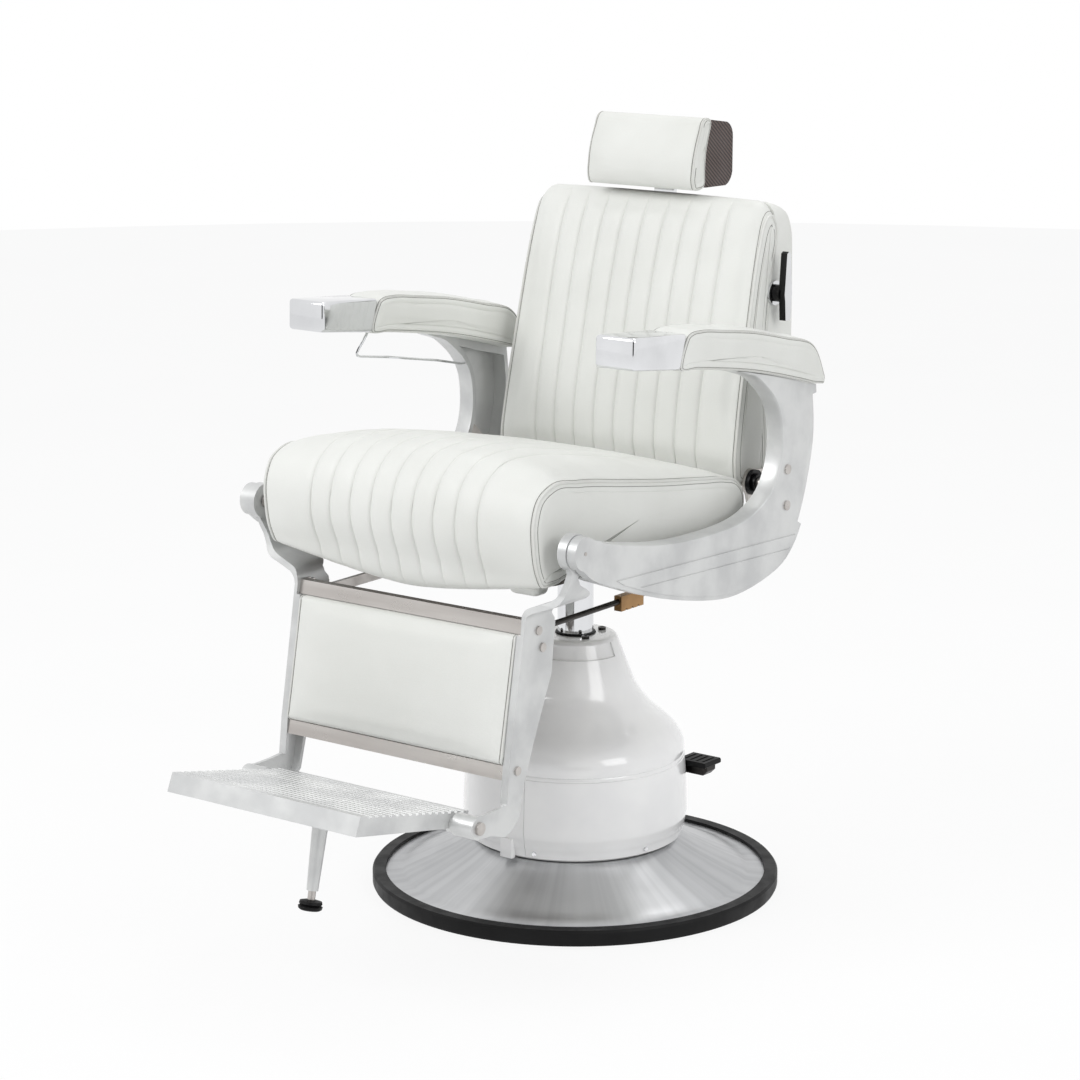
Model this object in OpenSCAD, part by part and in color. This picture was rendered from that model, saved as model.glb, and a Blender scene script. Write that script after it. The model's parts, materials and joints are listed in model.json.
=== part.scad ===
// Hydraulic barber chair. Millimetres, +Z up, origin on the floor at the centre of the base.
// The sitter faces -Y and has +X on the left. The chair stands raised, with the back upright.

/* [Base] */
// Overall diameter over the rubber ring
base_d = 680; // [660:1:720]
// Height of the rubber ring
ring_h = 26; // [25:1:30]
// Width of the rubber ring's top
ring_w = 22; // [18:1:26]
// Thickness of the spun steel cover
sheet_t = 1.6; // [1:0.1:2.2]
// Wall of the base casting
base_wall = 10; // [8:1:13]

/* [Pump and covers] */
// Diameter of the ram
ram_d = 60; // [52:1:62]
// Wall of the pump cylinder
pump_wall = 15; // [12:1:16]
// Travel of the ram below the height shown
lift_down = 100; // [60:1:100]
// Travel of the ram above the height shown
lift_up = 60; // [30:1:70]
// Largest diameter of the band cover
band_d = 374; // [366:1:384]
// Height of the band cover's top edge
band_top = 228; // [220:1:236]
// Height of the bell cover's top
bell_top = 428; // [415:1:430]
// Wall of the moulded covers
shell_t = 3; // [2.5:0.1:3.5]
// Depth of the panel let into the bell's neck
panel_depth = 3.5; // [2:0.5:4]
// Side angle of the band cover's seam from the front
seam_angle = 10; // [5:1:15]

/* [Pedal] */
// Distance of the pedal lever behind the base centre
pedal_y = 130; // [124:1:134]
// Height of the pedal's pivot
pedal_z = 192; // [188:1:194]
// Length of the pedal lever from its pivot
pedal_l = 210; // [200:1:225]
// Width of the pedal pad
pedal_w = 46; // [36:1:50]
// Diameter of the pump's plunger
plunger_d = 18; // [14:1:20]

/* [Seat] */
// Height of the seat board's top
seat_z = 626; // [620:1:640]
// Width of the seat cushion
seat_w = 536; // [500:1:538]
// Rise of the seat cushion's crown
seat_crown = 36; // [20:1:42]
// Drop of the seat cushion's lip at the middle of the front
seat_lip = 38; // [20:1:40]
// Spacing of the sewn channels
channel_pitch = 41; // [36:1:44]
// Number of seams between the channels
channel_seams = 9; // [5:2:9]
// Depth of a sewn channel
channel_depth = 5; // [3:0.5:7]
// Thickness of the seat board
board_t = 14; // [10:1:14]
// Height of the seat frame's beams
beam_h = 21; // [18:1:22]

/* [Side frames] */
// Inner face of a side frame from the middle
frame_x = 300; // [298:1:304]
// Thickness of a side frame
frame_t = 32; // [28:1:34]
// Thickness of a side frame's web
web_t = 6; // [5:0.5:8]
// Width of a side frame's rim
rim_w = 9; // [8:0.5:11]
// Width of the bevel down a side frame's rear edge
bevel_w = 26; // [16:1:30]
// Depth of that bevel
bevel_h = 8; // [4:0.5:10]

/* [Arms] */
// Arm's centre line from the middle
arm_x = 304.5; // [303:0.5:307]
// Width of an arm's metal tip
tip_w = 73; // [64:1:76]
// Width of an arm pad
arm_w = 74; // [70:1:76]
// Reach of the arm tip in front of the ram
tip_reach = 317.5; // [308:0.5:325]

/* [Back] */
// Half of the back's width at its foot
back_low = 241; // [234:1:242]
// Half of the back's width at its top
back_high = 228; // [218:1:232]
// Bulge of the back cushion
back_crown = 16; // [8:1:20]
// Recline of the back
recline_max = 55; // [40:1:55]

/* [Headrest] */
// Half of the headrest pad's width
head_w = 107; // [98:1:112]
// Travel of the headrest's stem
head_up = 100; // [60:1:100]
// Width of the stem
stem_w = 40; // [32:1:42]
// Thickness of the stem
stem_t = 8; // [6:0.5:9]

/* [Leg rest] */
// Outer face of a leg rest rail from the middle
rail_x = 229; // [224:0.5:231]
// Thickness of a rail's web
rail_web = 6; // [5:0.5:8]
// Depth of a rail's rear flange
rail_flange = 20; // [16:1:22]
// Height of the leg rest's metal bars
bar_h = 22; // [20:1:24]
// Distance of the foot plate's hinge below the seat board
hinge_drop = 353; // [350:1:358]

/* [Foot plate] */
// Half of the foot plate's width
plate_w = 186; // [176:1:190]
// Length of the foot plate in front of its hinge
plate_l = 226; // [216:1:236]
// Number of ribs across the foot plate
plate_ribs = 15; // [12:1:17]
// Depth of the grooves between the ribs
groove_depth = 3; // [2:0.5:4]
// Length of the stand leg with its foot
stand_l = 150; // [130:1:155]

/* [Fits] */
// Radial clearance of a turning or sliding fit
run = 0.05; // [0.03:0.01:0.1]
// Gap between pieces that seat on each other
seat_gap = 0.3; // [0.2:0.1:0.5]

/* [Hidden] */
$fn = 64;

// ---------- curves ----------
function hermite(a, b, c, d, t) = 0.5 * (2 * b + (c - a) * t + (2 * a - 5 * b + 4 * c - d) * t * t
    + (3 * b - a - 3 * c + d) * t * t * t);
// Smooth open curve through the points p, with n steps between two of them
function curve(p, n = 4) = [for (i = [0 : len(p) - 2]) for (j = [0 : n - 1])
    hermite(p[max(i - 1, 0)], p[i], p[i + 1], p[min(i + 2, len(p) - 1)], j / n), p[len(p) - 1]];
function arc(c, r, a, b, n = 12) = [for (i = [0 : n]) c + r * [cos(a + (b - a) * i / n), sin(a + (b - a) * i / n)]];
function back_to_front(p) = [for (i = [len(p) - 1 : -1 : 0]) p[i]];
function unit(v) = v / norm(v);
// Moves an open curve to its right-hand side by d
function offset_right(p, d) = [for (i = [0 : len(p) - 1])
    let (t = unit(p[min(i + 1, len(p) - 1)] - p[max(i - 1, 0)])) p[i] + d * [t[1], -t[0]]];
function lowered(p, d) = [for (q = p) q - [0, d]];
function part_of(p, a, b) = [for (i = [a : b]) p[i]];
function mean(p, i = 0) = i == len(p) ? p[0] * 0 : p[i] / len(p) + mean(p, i + 1);
// Closed skin over rings of equal length, with a raised middle in each end
module skin(rings, bulge = [0, 0, 0]) {
    m = len(rings[0]);
    k = len(rings);
    pts = [for (r = rings) each r, mean(rings[0]) - bulge, mean(rings[k - 1]) + bulge];
    sides = [for (i = [0 : k - 2]) for (j = [0 : m - 1]) let (a = i * m + j, b = i * m + (j + 1) % m)
        each [[a, b, b + m], [a, b + m, a + m]]];
    ends = [for (j = [0 : m - 1]) let (b = (j + 1) % m, e = (k - 1) * m)
        each [[k * m, b, j], [k * m + 1, e + j, e + b]]];
    polyhedron(points = pts, faces = concat(sides, ends), convexity = 6);
}
// Triangles from the corner a of a ring to its corners b to c
function fan(a, b, c) = [for (j = [b : c - 1]) [a, j, j + 1]];
// Solid swept over rings, its flat ends filled with the triangles ends
module sweep_flat(rings, ends) {
    m = len(rings[0]);
    k = len(rings);
    sides = [for (i = [0 : k - 2]) for (j = [0 : m - 1]) let (a = i * m + j, b = i * m + (j + 1) % m)
        each [[a, b, b + m], [a, b + m, a + m]]];
    polyhedron(points = [for (r = rings) each r], convexity = 6, faces = concat(sides,
        [for (t = ends) [t[2], t[1], t[0]]], [for (t = ends) [for (j = t) (k - 1) * m + j]]));
}
// Extrudes a Y-Z outline along X from x0 to x1
module slab(x0, x1, outline) translate([x0, 0, 0]) rotate([90, 0, 90]) linear_extrude(x1 - x0) polygon(outline);
// Round bar along X
module xbar(x0, x1, p, r) translate([x0, p[0], p[1]]) rotate([0, 90, 0]) cylinder(r = r, h = x1 - x0);
module at_seat() translate([0, 0, seat_z]) children();
module right() mirror([1, 0, 0]) children();
module both() {
    children();
    mirror([1, 0, 0]) children();
}

// ---------- colours ----------
WHITE = "#f4f4f2";
CAST = "#d9dad6";
STEEL = "#a9a6a2";
CHROME = "#d0d3d6";
BLACK = "#1c1c1e";
LEATHER = "#e6e6e0";
BRONZE = "#8c6a44";
BROWN = "#4b403a";
IRON = "#55585a";

// ---------- base ----------
base_r = base_d / 2;
ring_in = base_r - ring_w;
ram_r = ram_d / 2;
pump_r = ram_r + 1 + pump_wall;
band_r = band_d / 2;
boss_r = pump_r + 28;
cover_edge_z = 20.4;
deck_r = band_r - 22;
deck_z = 88;
cover_in = deck_r - 6;
// Upper surface of the spun cover, from its rim to its inner edge
cover_line = [[ring_in - seat_gap, cover_edge_z], [base_r - 50, cover_edge_z + 2],
    [base_r - 57, cover_edge_z + 7], [base_r - 100, 47], [base_r - 140, 67], [deck_r + 8, deck_z - 5],
    [deck_r, deck_z - 1], [cover_in, deck_z]];
casting_line = lowered(cover_line, sheet_t + seat_gap);
deck_top = deck_z - sheet_t - seat_gap;
socket_z = 12;
rib_bottom = 4;

module base_casting() color(IRON) {
    rotate_extrude() polygon(concat([[0, 0], [boss_r, 0], [boss_r, deck_top - base_wall],
        [deck_r - 4, deck_top - base_wall], [base_r - 140, 67 - base_wall - 4], [base_r - 57, 14], [base_r - 44, 8],
        [base_r - 44, 0], [ring_in - 6 - seat_gap, 0], [ring_in - 6 - seat_gap, cover_edge_z - sheet_t - seat_gap]],
        part_of(casting_line, 1, len(casting_line) - 1), [[pump_r + run, deck_top], [pump_r + run, socket_z],
        [0, socket_z]]));
    for (a = [0 : 60 : 300]) rotate(a) rotate([90, 0, 0]) translate([0, 0, -4]) linear_extrude(8)
        polygon([[boss_r - 3, rib_bottom], [boss_r - 3, deck_top - base_wall + 2], [deck_r - 4, deck_top - base_wall + 2],
            [base_r - 140, 67 - base_wall - 2], [base_r - 57, 16], [base_r - 43, 10], [base_r - 43, rib_bottom]]);
}
module base_cover() color(STEEL) rotate_extrude($fn = 96)
    polygon(concat(cover_line, back_to_front(lowered(cover_line, sheet_t))));
ring_step = cover_edge_z - sheet_t - seat_gap;
module base_ring() color(BLACK) rotate_extrude($fn = 96) polygon([[ring_in - 6, 0], [base_r - 2, 0], [base_r, 4],
    [base_r, ring_h - 4], [base_r - 3, ring_h], [ring_in, ring_h], [ring_in, ring_step], [ring_in - 6, ring_step]]);

// ---------- pump ----------
bell_roof = 6;
flange_top = bell_top - bell_roof - seat_gap;
flange_h = 18;
flange_r = pump_r + 12;
bush_h = 49;
bush_r = ram_r + 6;
screw_circle = 47;
gland_angles = [57, 147, 237, 327];
screw_r = 4;
module pump_cylinder() color(IRON) difference() {
    rotate_extrude() polygon([[0, socket_z + seat_gap], [pump_r, socket_z + seat_gap],
        [pump_r, flange_top - flange_h - 6], [flange_r, flange_top - flange_h], [flange_r, flange_top],
        [bush_r, flange_top], [bush_r, flange_top - bush_h], [ram_r + 1, flange_top - bush_h],
        [ram_r + 1, socket_z + 5], [0, socket_z + 5]]);
    for (a = gland_angles) rotate(a) translate([screw_circle, 0, flange_top - flange_h - 1])
        cylinder(r = screw_r + run, h = flange_h + 2);
}
module ram_bush() color(BRONZE) translate([0, 0, flange_top - bush_h + seat_gap]) difference() {
    cylinder(r = bush_r - run, h = bush_h - 2 * seat_gap);
    translate([0, 0, -1]) cylinder(r = ram_r + run, h = bush_h + 2);
}
module ram_seal() color(BLACK) rotate_extrude() polygon([[ram_r + 0.1, flange_top + 0.1],
    [ram_r + 3.7, flange_top + 0.1], [ram_r + 3.7, bell_top + 1], [ram_r + 2.6, bell_top + 3],
    [ram_r + 0.1, bell_top + 3]]);
// Outer line of the bell cover from its foot to its top
bell_line = curve([[band_r - 6.5, band_top + seat_gap], [band_r - 5.5, band_top + 9], [band_r - 9, band_top + 25],
    [band_r - 25, band_top + 47], [band_r - 57, band_top + 75], [band_r - 83, band_top + 108],
    [band_r - 99, bell_top - 54], [band_r - 112, bell_top - 20], [band_r - 119, bell_top - 3],
    [band_r - 127, bell_top]], 3);
neck_in = flange_r + 1.6;
module bell_cover() color(WHITE) difference() {
    n = len(bell_line);
    inner = [for (q = offset_right(part_of(bell_line, 0, n - 10), -shell_t)) q];
    rotate_extrude($fn = 96) polygon(concat(bell_line, [[ram_r + 4, bell_top], [ram_r + 4, bell_top - bell_roof],
        [neck_in, bell_top - bell_roof], [neck_in, bell_top - 48]], back_to_front(inner)));
    rotate(-183) rotate_extrude(angle = 186, $fn = 96) polygon(concat(
        [for (q = bell_line) if (q[1] > bell_top - 41 && q[1] < bell_top - 4) q - [panel_depth, 0]],
        [[band_r, bell_top - 4], [band_r, bell_top - 41]]));
    for (a = gland_angles) rotate(a) translate([screw_circle, 0, bell_top - 10]) cylinder(r = screw_r + 0.5, h = 20);
}
module bell_screws() color(IRON) for (a = gland_angles) rotate(a) translate([screw_circle, 0, 0]) difference() {
    union() {
        translate([0, 0, flange_top - flange_h]) cylinder(r = screw_r, h = flange_h + bell_roof + 2);
        translate([0, 0, bell_top + 0.1]) cylinder(r = 6.5, h = 4.4);
    }
    translate([0, 0, bell_top + 1.5]) cylinder(r = 3.4, h = 4, $fn = 6);
}
// Outer line of the band cover from its foot to its top
band_foot = deck_z - 2.2;
band_line = [[deck_r + 7, band_foot], [band_r - 8.5, band_foot + 4], [band_r - 5, band_foot + 18],
    [band_r - 3.5, band_foot + 20], [band_r - 2.5, band_foot + 26], [band_r, band_foot + 42], [band_r, band_foot + 56],
    [band_r - 1.5, band_top - 46], [band_r - 3.5, band_top - 14], [band_r - 4, band_top - 7],
    [band_r - 5.5, band_top - 6], [band_r - 5.5, band_top - 3], [band_r - 7, band_top]];
module band_half(a) rotate(a) rotate_extrude(angle = 179.8, $fn = 96)
    polygon(concat(band_line, back_to_front(offset_right(band_line, -shell_t))));
band_start = -90 + seam_angle + 0.1;
slot_margin = 3;
module pedal_slot() translate([60, pedal_y - pedal_w / 2 - slot_margin, pedal_z - 48])
    cube([band_r, pedal_w + 2 * slot_margin, 48 + 21]);
band_screw_angles = [seam_angle - 90 + 5, seam_angle - 90 + 66, seam_angle + 90 + 5, seam_angle + 90 - 66 - 180];
band_screw_z = band_foot + 12;
module band_screw_holes(r) for (a = band_screw_angles) rotate(a) translate([band_r - 22, 0, band_screw_z])
    rotate([0, 90, 0]) cylinder(r = r, h = 24);
module band_left() color(WHITE) difference() {
    band_half(band_start);
    pedal_slot();
    band_screw_holes(2.2);
}
module band_right() color(WHITE) difference() {
    band_half(band_start + 180);
    band_screw_holes(2.2);
}
module band_screws() color(CHROME) for (a = band_screw_angles) rotate(a) {
    translate([band_r - 15, 0, band_screw_z]) rotate([0, 90, 0]) cylinder(r = 2.1, h = 10.5);
    translate([band_r - 5.3, 0, band_screw_z]) rotate([0, 90, 0]) cylinder(r1 = 4.2, r2 = 3.2, h = 2);
}

// ---------- pedal ----------
pedal_pivot_x = -20;
plunger_x = pedal_pivot_x + 65;
lever_t = 16;
lever_w = 24;
pin_r = 6;
ear_gap = 0.5;
bracket_foot = deck_top + 0.1;
module pedal_bracket() color(IRON) translate([pedal_pivot_x, pedal_y, 0]) difference() {
    union() {
        translate([-22, -lever_w / 2 - 8, bracket_foot]) cube([44, lever_w + 16, 6]);
        for (s = [0, 1]) mirror([0, s, 0]) translate([0, lever_w / 2 + ear_gap + 6, 0]) rotate([90, 0, 0])
            linear_extrude(6) polygon(concat([[-20, bracket_foot], [20, bracket_foot]],
                arc([0, pedal_z], 12, 0, 180, 16)));
    }
    translate([0, 40, pedal_z]) rotate([90, 0, 0]) cylinder(r = pin_r + run, h = 80);
}
module pedal_pin() color(CHROME) translate([pedal_pivot_x, pedal_y + 22, pedal_z]) rotate([90, 0, 0]) {
    cylinder(r = pin_r, h = 44);
    translate([0, 0, 41]) cylinder(r = pin_r + 2.5, h = 3);
}
module pedal_lever() color(BLACK) difference() {
    translate([0, pedal_y + lever_w / 2, 0]) rotate([90, 0, 0]) linear_extrude(lever_w) polygon(concat(
        arc([pedal_pivot_x, pedal_z], 13, 90, 218, 10), [[pedal_pivot_x + 10, pedal_z - lever_t / 2],
        [pedal_pivot_x + pedal_l - 12, pedal_z - lever_t / 2], [pedal_pivot_x + pedal_l - 4, pedal_z],
        [pedal_pivot_x + pedal_l - 4, pedal_z + lever_t / 2], [pedal_pivot_x + 14, pedal_z + lever_t / 2]]));
    translate([pedal_pivot_x, pedal_y + 40, pedal_z]) rotate([90, 0, 0]) cylinder(r = pin_r + run, h = 80);
}
module pedal_pad() color(BLACK) translate([pedal_pivot_x + pedal_l, pedal_y, pedal_z + lever_t / 2 + 0.1]) difference() {
    rotate([90, 0, 0]) translate([0, 0, -pedal_w / 2]) linear_extrude(pedal_w)
        polygon([[-58, 0], [-2, 0], [0, 2], [0, 7], [-2, 9], [-56, 9], [-58, 7]]);
    for (i = [0 : 3]) translate([-12 - 12 * i, -pedal_w / 2 + 6, 7.5]) cube([4, pedal_w - 12, 3]);
}
block_h = 64;
plunger_top = pedal_z - lever_t / 2 - seat_gap;
module pump_block() color(IRON) difference() {
    translate([plunger_x, pedal_y, bracket_foot]) rotate_extrude() polygon([[0, 0], [20, 0], [20, 6], [17, 9],
        [17, block_h - 12], [19, block_h - 10], [19, block_h], [0, block_h]]);
    translate([plunger_x, pedal_y, bracket_foot + 4]) cylinder(r = plunger_d / 2 + run, h = block_h);
}
module pump_plunger() color(CHROME) translate([plunger_x, pedal_y, 0]) {
    translate([0, 0, bracket_foot + 20]) cylinder(r = plunger_d / 2, h = plunger_top - plunger_d / 2 - bracket_foot - 20);
    translate([0, 0, plunger_top - plunger_d / 2]) sphere(r = plunger_d / 2);
}

// ---------- ram and seat frame ----------
board_top = -seat_gap;
beam_top = board_top - board_t - seat_gap;
ram_top = seat_z + beam_top - 11;
ram_bottom = socket_z + 5 + lift_down + 1;
piston_h = 18;
module ram() color(CHROME) rotate_extrude() polygon([[0, ram_bottom], [ram_r + 0.9, ram_bottom],
    [ram_r + 0.9, ram_bottom + piston_h], [ram_r, ram_bottom + piston_h], [ram_r, ram_top - 2], [ram_r - 2, ram_top],
    [0, ram_top]]);
front_beam_y = -110;
rear_beam_y = 10;
beam_w = 50;
web_in = frame_x + frame_t - web_t;
pad_t = 8;
pad_x = web_in - seat_gap;
frame_bolt_z = beam_top - 15;
frame_bolt_y = [front_beam_y - 40, front_beam_y + 40, rear_beam_y - 40, rear_beam_y + 40];
hub_r = ram_r + 20;
hub_low = -81;
beam_end = pad_x - pad_t - seat_gap;
module seat_frame() color(WHITE) at_seat() difference() {
    union() {
        for (y = [front_beam_y, rear_beam_y])
            translate([-beam_end, y - beam_w / 2, beam_top - beam_h]) cube([2 * beam_end, beam_w, beam_h]);
        for (x = [-118, 94]) translate([x, front_beam_y, beam_top - beam_h]) cube([24, rear_beam_y - front_beam_y, beam_h]);
        rotate([180, 0, 0]) translate([0, 0, -beam_top]) rotate_extrude() polygon([[0, 0], [hub_r + 34, 0],
            [hub_r + 34, 14], [hub_r + 6, 34], [hub_r, 50], [hub_r, -hub_low + beam_top], [0, -hub_low + beam_top]]);
        translate([-14, front_beam_y, beam_top - beam_h]) cube([28, -front_beam_y, beam_h]);
    }
    translate([0, 0, hub_low - 1]) cylinder(r = ram_r + run, h = ram_top + seat_gap - seat_z - hub_low + 1);
}
// Plates at the beams' ends, which the side frames are bolted to
module frame_pads() color(WHITE) at_seat() difference() {
    for (y = [front_beam_y, rear_beam_y])
        both() translate([pad_x - pad_t, y - 50, frame_bolt_z - 18]) cube([pad_t, 100, 42]);
    for (s = [-1, 1]) for (y = frame_bolt_y) xbar(s > 0 ? pad_x - 12 : -pad_x - 2, s > 0 ? pad_x + 2 : -pad_x + 12,
        [y, frame_bolt_z], 5 + run);
}
board_front = -395;
module seat_board() color("#b39b78") at_seat() translate([0, 0, board_top - board_t]) linear_extrude(board_t)
    polygon(concat(arc([seat_w / 2 - 58, board_front + 30], 30, 0, -90, 6),
        arc([-seat_w / 2 + 58, board_front + 30], 30, -90, -180, 6), [[-seat_w / 2 + 28, 40], [seat_w / 2 - 28, 40]]));

// ---------- cushions ----------
function fade(s, k = 3) = 1 - pow(min(abs(s), 1), k);
// Stations across a cushion of half width w: its edges, the seams, their shoulders and the crests between
function stations(w) = let (h = (channel_seams - 1) / 2) concat([-w, -w + 3, -w + 12],
    [for (i = [-h : h]) each concat([i * channel_pitch - 5, i * channel_pitch, i * channel_pitch + 5],
        i < h ? [(i + 0.5) * channel_pitch] : [])], [w - 12, w - 3, w]);
// How far the skin is drawn in at x: deep in a seam, shallow at its shoulders
function drawn(x) = let (h = (channel_seams - 1) / 2, q = x / channel_pitch, n = min(max(round(q), -h), h),
    d = abs(x - n * channel_pitch)) abs(x) > h * channel_pitch + 8 ? 0 : d < 1 ? channel_depth : d < 6 ? 1.5 : 0;
function edge_in(x, w) = w - abs(x) < 1 ? 9 : w - abs(x) < 5 ? 3 : 0;
function pull(ring, k) = let (c = mean(ring)) [for (q = ring) q + (c - q) * (k / max(norm(c - q), 1))];

seat_back_y = 97;
// Section of the seat cushion at x: its outline, with 1 where the channels are sewn
function seat_section(x) = let (w = seat_w / 2, s = x / w, c = seat_crown * fade(s), lip = 2 + (seat_lip - 2) * fade(s, 1.5),
    b = 10 * fade(s), g = drawn(x)) [[40, 0], [-180, 0], [-397, 0], [-404, -lip * 0.75], [-424, -lip],
    [-441 + g / 2, -lip * 0.8], [-452 + g - b / 2, 14], [-464 + g - b, 62], [-464 + g - b, 104],
    [-450 + g * 0.7 - b / 2, 134 + c * 0.35 - g * 0.7], [-418, 150 + c * 0.7 - g], [-350, 146 + c * 0.95 - g],
    [-240, 129 + c - g], [-130, 112 + c * 0.85 - g], [-20, 98 + c * 0.55 - g], [40, 90 + c * 0.25 - g], [74, 80 + c * 0.15],
    [92, 62], [seat_back_y, 40], [84, 12]];
module seat_cushion() color(LEATHER) at_seat() skin([for (x = stations(seat_w / 2))
    [for (q = pull(seat_section(x), edge_in(x, seat_w / 2))) [x, q[0], q[1]]]], [4, 0, 0]);

// ---------- side frames and arms ----------
leg_pivot = [-424, 57];
back_pivot = [147, 62];
arm_low_table = [[-330, 318], [-250, 317], [-207, 311], [-189, 304], [-77, 285], [5, 271], [78, 255], [202, 225],
    [222, 222]];
function arm_low(y) = lookup(y, arm_low_table);
frame_outer = curve([[203, arm_low(203) - seat_gap], [210, 150], [198, 84], [172, 14], [142, -32], [95, -62], [0, -81],
    [-90, -78], [-230, -48], [-355, -6], [-402, 12], [-429, 31.5]], 4);
tip_r = 26;
head_r = 28;
head_in = 300;
head_out = 315.4;
frame_tip = arc(leg_pivot, tip_r, 245, 82, 12);
frame_inner = curve([[-398, 73], [-339, 57], [-293, 48], [-236, 38], [-182, 32], [-123, 29], [-63, 29], [-12, 32],
    [29, 41], [69, 60], [91, 83], [104, 110], [109, 145], [104, 185], [88, 214], [66, 235], [34, 257], [3, 267],
    [-20, arm_low(-20) - seat_gap]], 3);
frame_top = [for (y = [5, 78]) [y, arm_low(y) - seat_gap]];
frame_outline = concat(frame_outer, frame_tip, frame_inner, frame_top);
n_out = len(frame_outer);
n_in = len(frame_inner);
frame_face = frame_x + frame_t;
frame_bolts_rear = [[121, 97.5], [120, 38.5]];
bracket_t = 6;
hollow_top = 16;
tip_wall = 16;
pin_end = frame_face - 6;
dot_r = 3;
// Cutter along an edge of the outer face; its section gives the depth into the edge and the height
module edge_cut(path, section, ends) sweep_flat([for (i = [1 : len(path) - 2])
    let (t = unit(path[i + 1] - path[i - 1])) [for (q = section)
        let (p = path[i] + q[0] * [t[1], -t[0]]) [frame_face + q[1], p[0], p[1]]]], ends);
module side_frame() at_seat() difference() {
    union() {
        difference() {
            slab(frame_x, frame_face, frame_outline);
            // Hollow behind the web, from the horn down the upright and along the lower arm
            slab(frame_x - 1, web_in, concat(
                part_of(offset_right(frame_outer, rim_w), 1, n_out - 10),
                part_of(offset_right(frame_inner, rim_w), 10, n_in - 10),
                [for (y = [112, 186]) [y, arm_low(y) - hollow_top]]));
        }
        // Lens-shaped panel along the lower edge
        slab(frame_face - 1, frame_face + 2.5, concat([[147, -14], [-345, 1]],
            back_to_front(part_of(offset_right(frame_outer, 7), 17, n_out - 10))));
    }
    edge_cut(frame_inner, [[-1.5, -6], [0, -6], [2, -1.9], [6.5, 0], [6.5, 1], [-1.5, 1]], fan(5, 0, 4));
    edge_cut(part_of(frame_outer, 0, 14), [[-1.5, -bevel_h], [bevel_w, 0], [bevel_w, 1], [-1.5, 1]], fan(0, 1, 3));
    slab(frame_face + 1.3, frame_face + 4, [[-285, -18], [130, -32], [130, -34.5], [-285, -20.5]]);
    // Room for the leg rest's head inside the tip
    xbar(frame_x - 1, frame_face - tip_wall, leg_pivot, head_r + 17);
    xbar(frame_x - 1, pin_end + seat_gap, leg_pivot, 8 + run);
    xbar(pin_end - 1, frame_face + 1, leg_pivot, dot_r + run);
    for (q = frame_bolts_rear) xbar(frame_x - 1, frame_face + 12, q, 5 + run);
    for (y = frame_bolt_y) xbar(web_in - 5, web_in + 3, [y, frame_bolt_z], 5 + run);
}
module side_frame_left() color(CAST) side_frame();
module side_frame_right() color(CAST) right() side_frame();
module frame_bolts() color(IRON) at_seat() both() {
    for (y = frame_bolt_y) {
        xbar(pad_x - pad_t - 6, web_in + 2.6, [y, frame_bolt_z], 5);
        xbar(pad_x - pad_t - 6.2, pad_x - pad_t - seat_gap, [y, frame_bolt_z], 9);
    }
    for (q = frame_bolts_rear) {
        xbar(web_in - bracket_t - 8, frame_face + 2, q, 5);
        xbar(frame_face + 0.1, frame_face + 3, q, 8);
    }
}
module leg_pivot_pins() color(CHROME) at_seat() both() {
    xbar(head_in - 3, pin_end, leg_pivot, 8);
    xbar(pin_end - 1, frame_face + 0.6, leg_pivot, dot_r);
    xbar(head_in - 6, head_in - 2, leg_pivot, 11);
}
lever_x = back_low + 1.2;
lever_plate = 6;
pivot_r = 9;
module recline_pivots() color(STEEL) at_seat() both() difference() {
    union() {
        xbar(lever_x - 0.5, web_in - seat_gap, back_pivot, pivot_r);
        slab(web_in - seat_gap - bracket_t, web_in - seat_gap, concat(arc(frame_bolts_rear[0], 10, 20, 160, 8),
            arc(frame_bolts_rear[1], 10, 180, 290, 8), arc(back_pivot, 20, 300, 390, 8)));
    }
    for (q = frame_bolts_rear) xbar(web_in - 20, web_in + 2, q, 5 + run);
}
cap_x = lever_x + lever_plate + seat_gap;
module pivot_caps() color(BLACK) at_seat() both() difference() {
    union() {
        xbar(cap_x, cap_x + 7, back_pivot, 21);
        xbar(cap_x + 6, cap_x + 13, back_pivot, 15);
    }
    xbar(cap_x - 1, cap_x + 14, back_pivot, pivot_r + run);
}
bar_strip_w = 34;
bar_strip_t = 9;
arm_bar_ys = [-300, -250, -207, -189, -140, -77, -35, 5, 40, 78, 140, 200];
module arm_bar() at_seat() sweep_flat([for (y = arm_bar_ys) [for (q = [[0, 0], [1, 0], [1, 1], [0, 1]])
    [arm_x + (q[0] - 0.5) * bar_strip_w, y, arm_low(y) + q[1] * bar_strip_t + 0.1]]], fan(0, 1, 3));
module arm_bar_left() color(IRON) arm_bar();
module arm_bar_right() color(IRON) right() arm_bar();
tip_low_z = 301;
tip_side = [[-tip_reach, 316], [-193, tip_low_z], [-176, 355], [1.5 - tip_reach, 365.5]];
tip_slant = (tip_side[2][0] - tip_side[1][0]) / (tip_side[2][1] - tip_side[1][1]);
module arm_tip() at_seat() difference() {
    intersection() {
        slab(arm_x - tip_w / 2, arm_x + tip_w / 2, tip_side);
        translate([arm_x, 0, 200]) linear_extrude(300) polygon(concat(
            arc([tip_w / 2 - 8, -tip_reach + 8], 8, 0, -90, 6), arc([-tip_w / 2 + 8, -tip_reach + 8], 8, -90, -180, 6),
            [[-tip_w / 2, -100], [tip_w / 2, -100]]));
    }
    // Pocket for the bar
    slab(arm_x - bar_strip_w / 2 - seat_gap, arm_x + bar_strip_w / 2 + seat_gap, concat(
        [for (y = [-302, -250, -207, -189, -150]) [y, arm_low(y) + bar_strip_t + 0.4]], [[-150, 280], [-302, 280]]));
}
module arm_tip_left() color(CHROME) arm_tip();
module arm_tip_right() color(CHROME) right() arm_tip();
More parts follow.
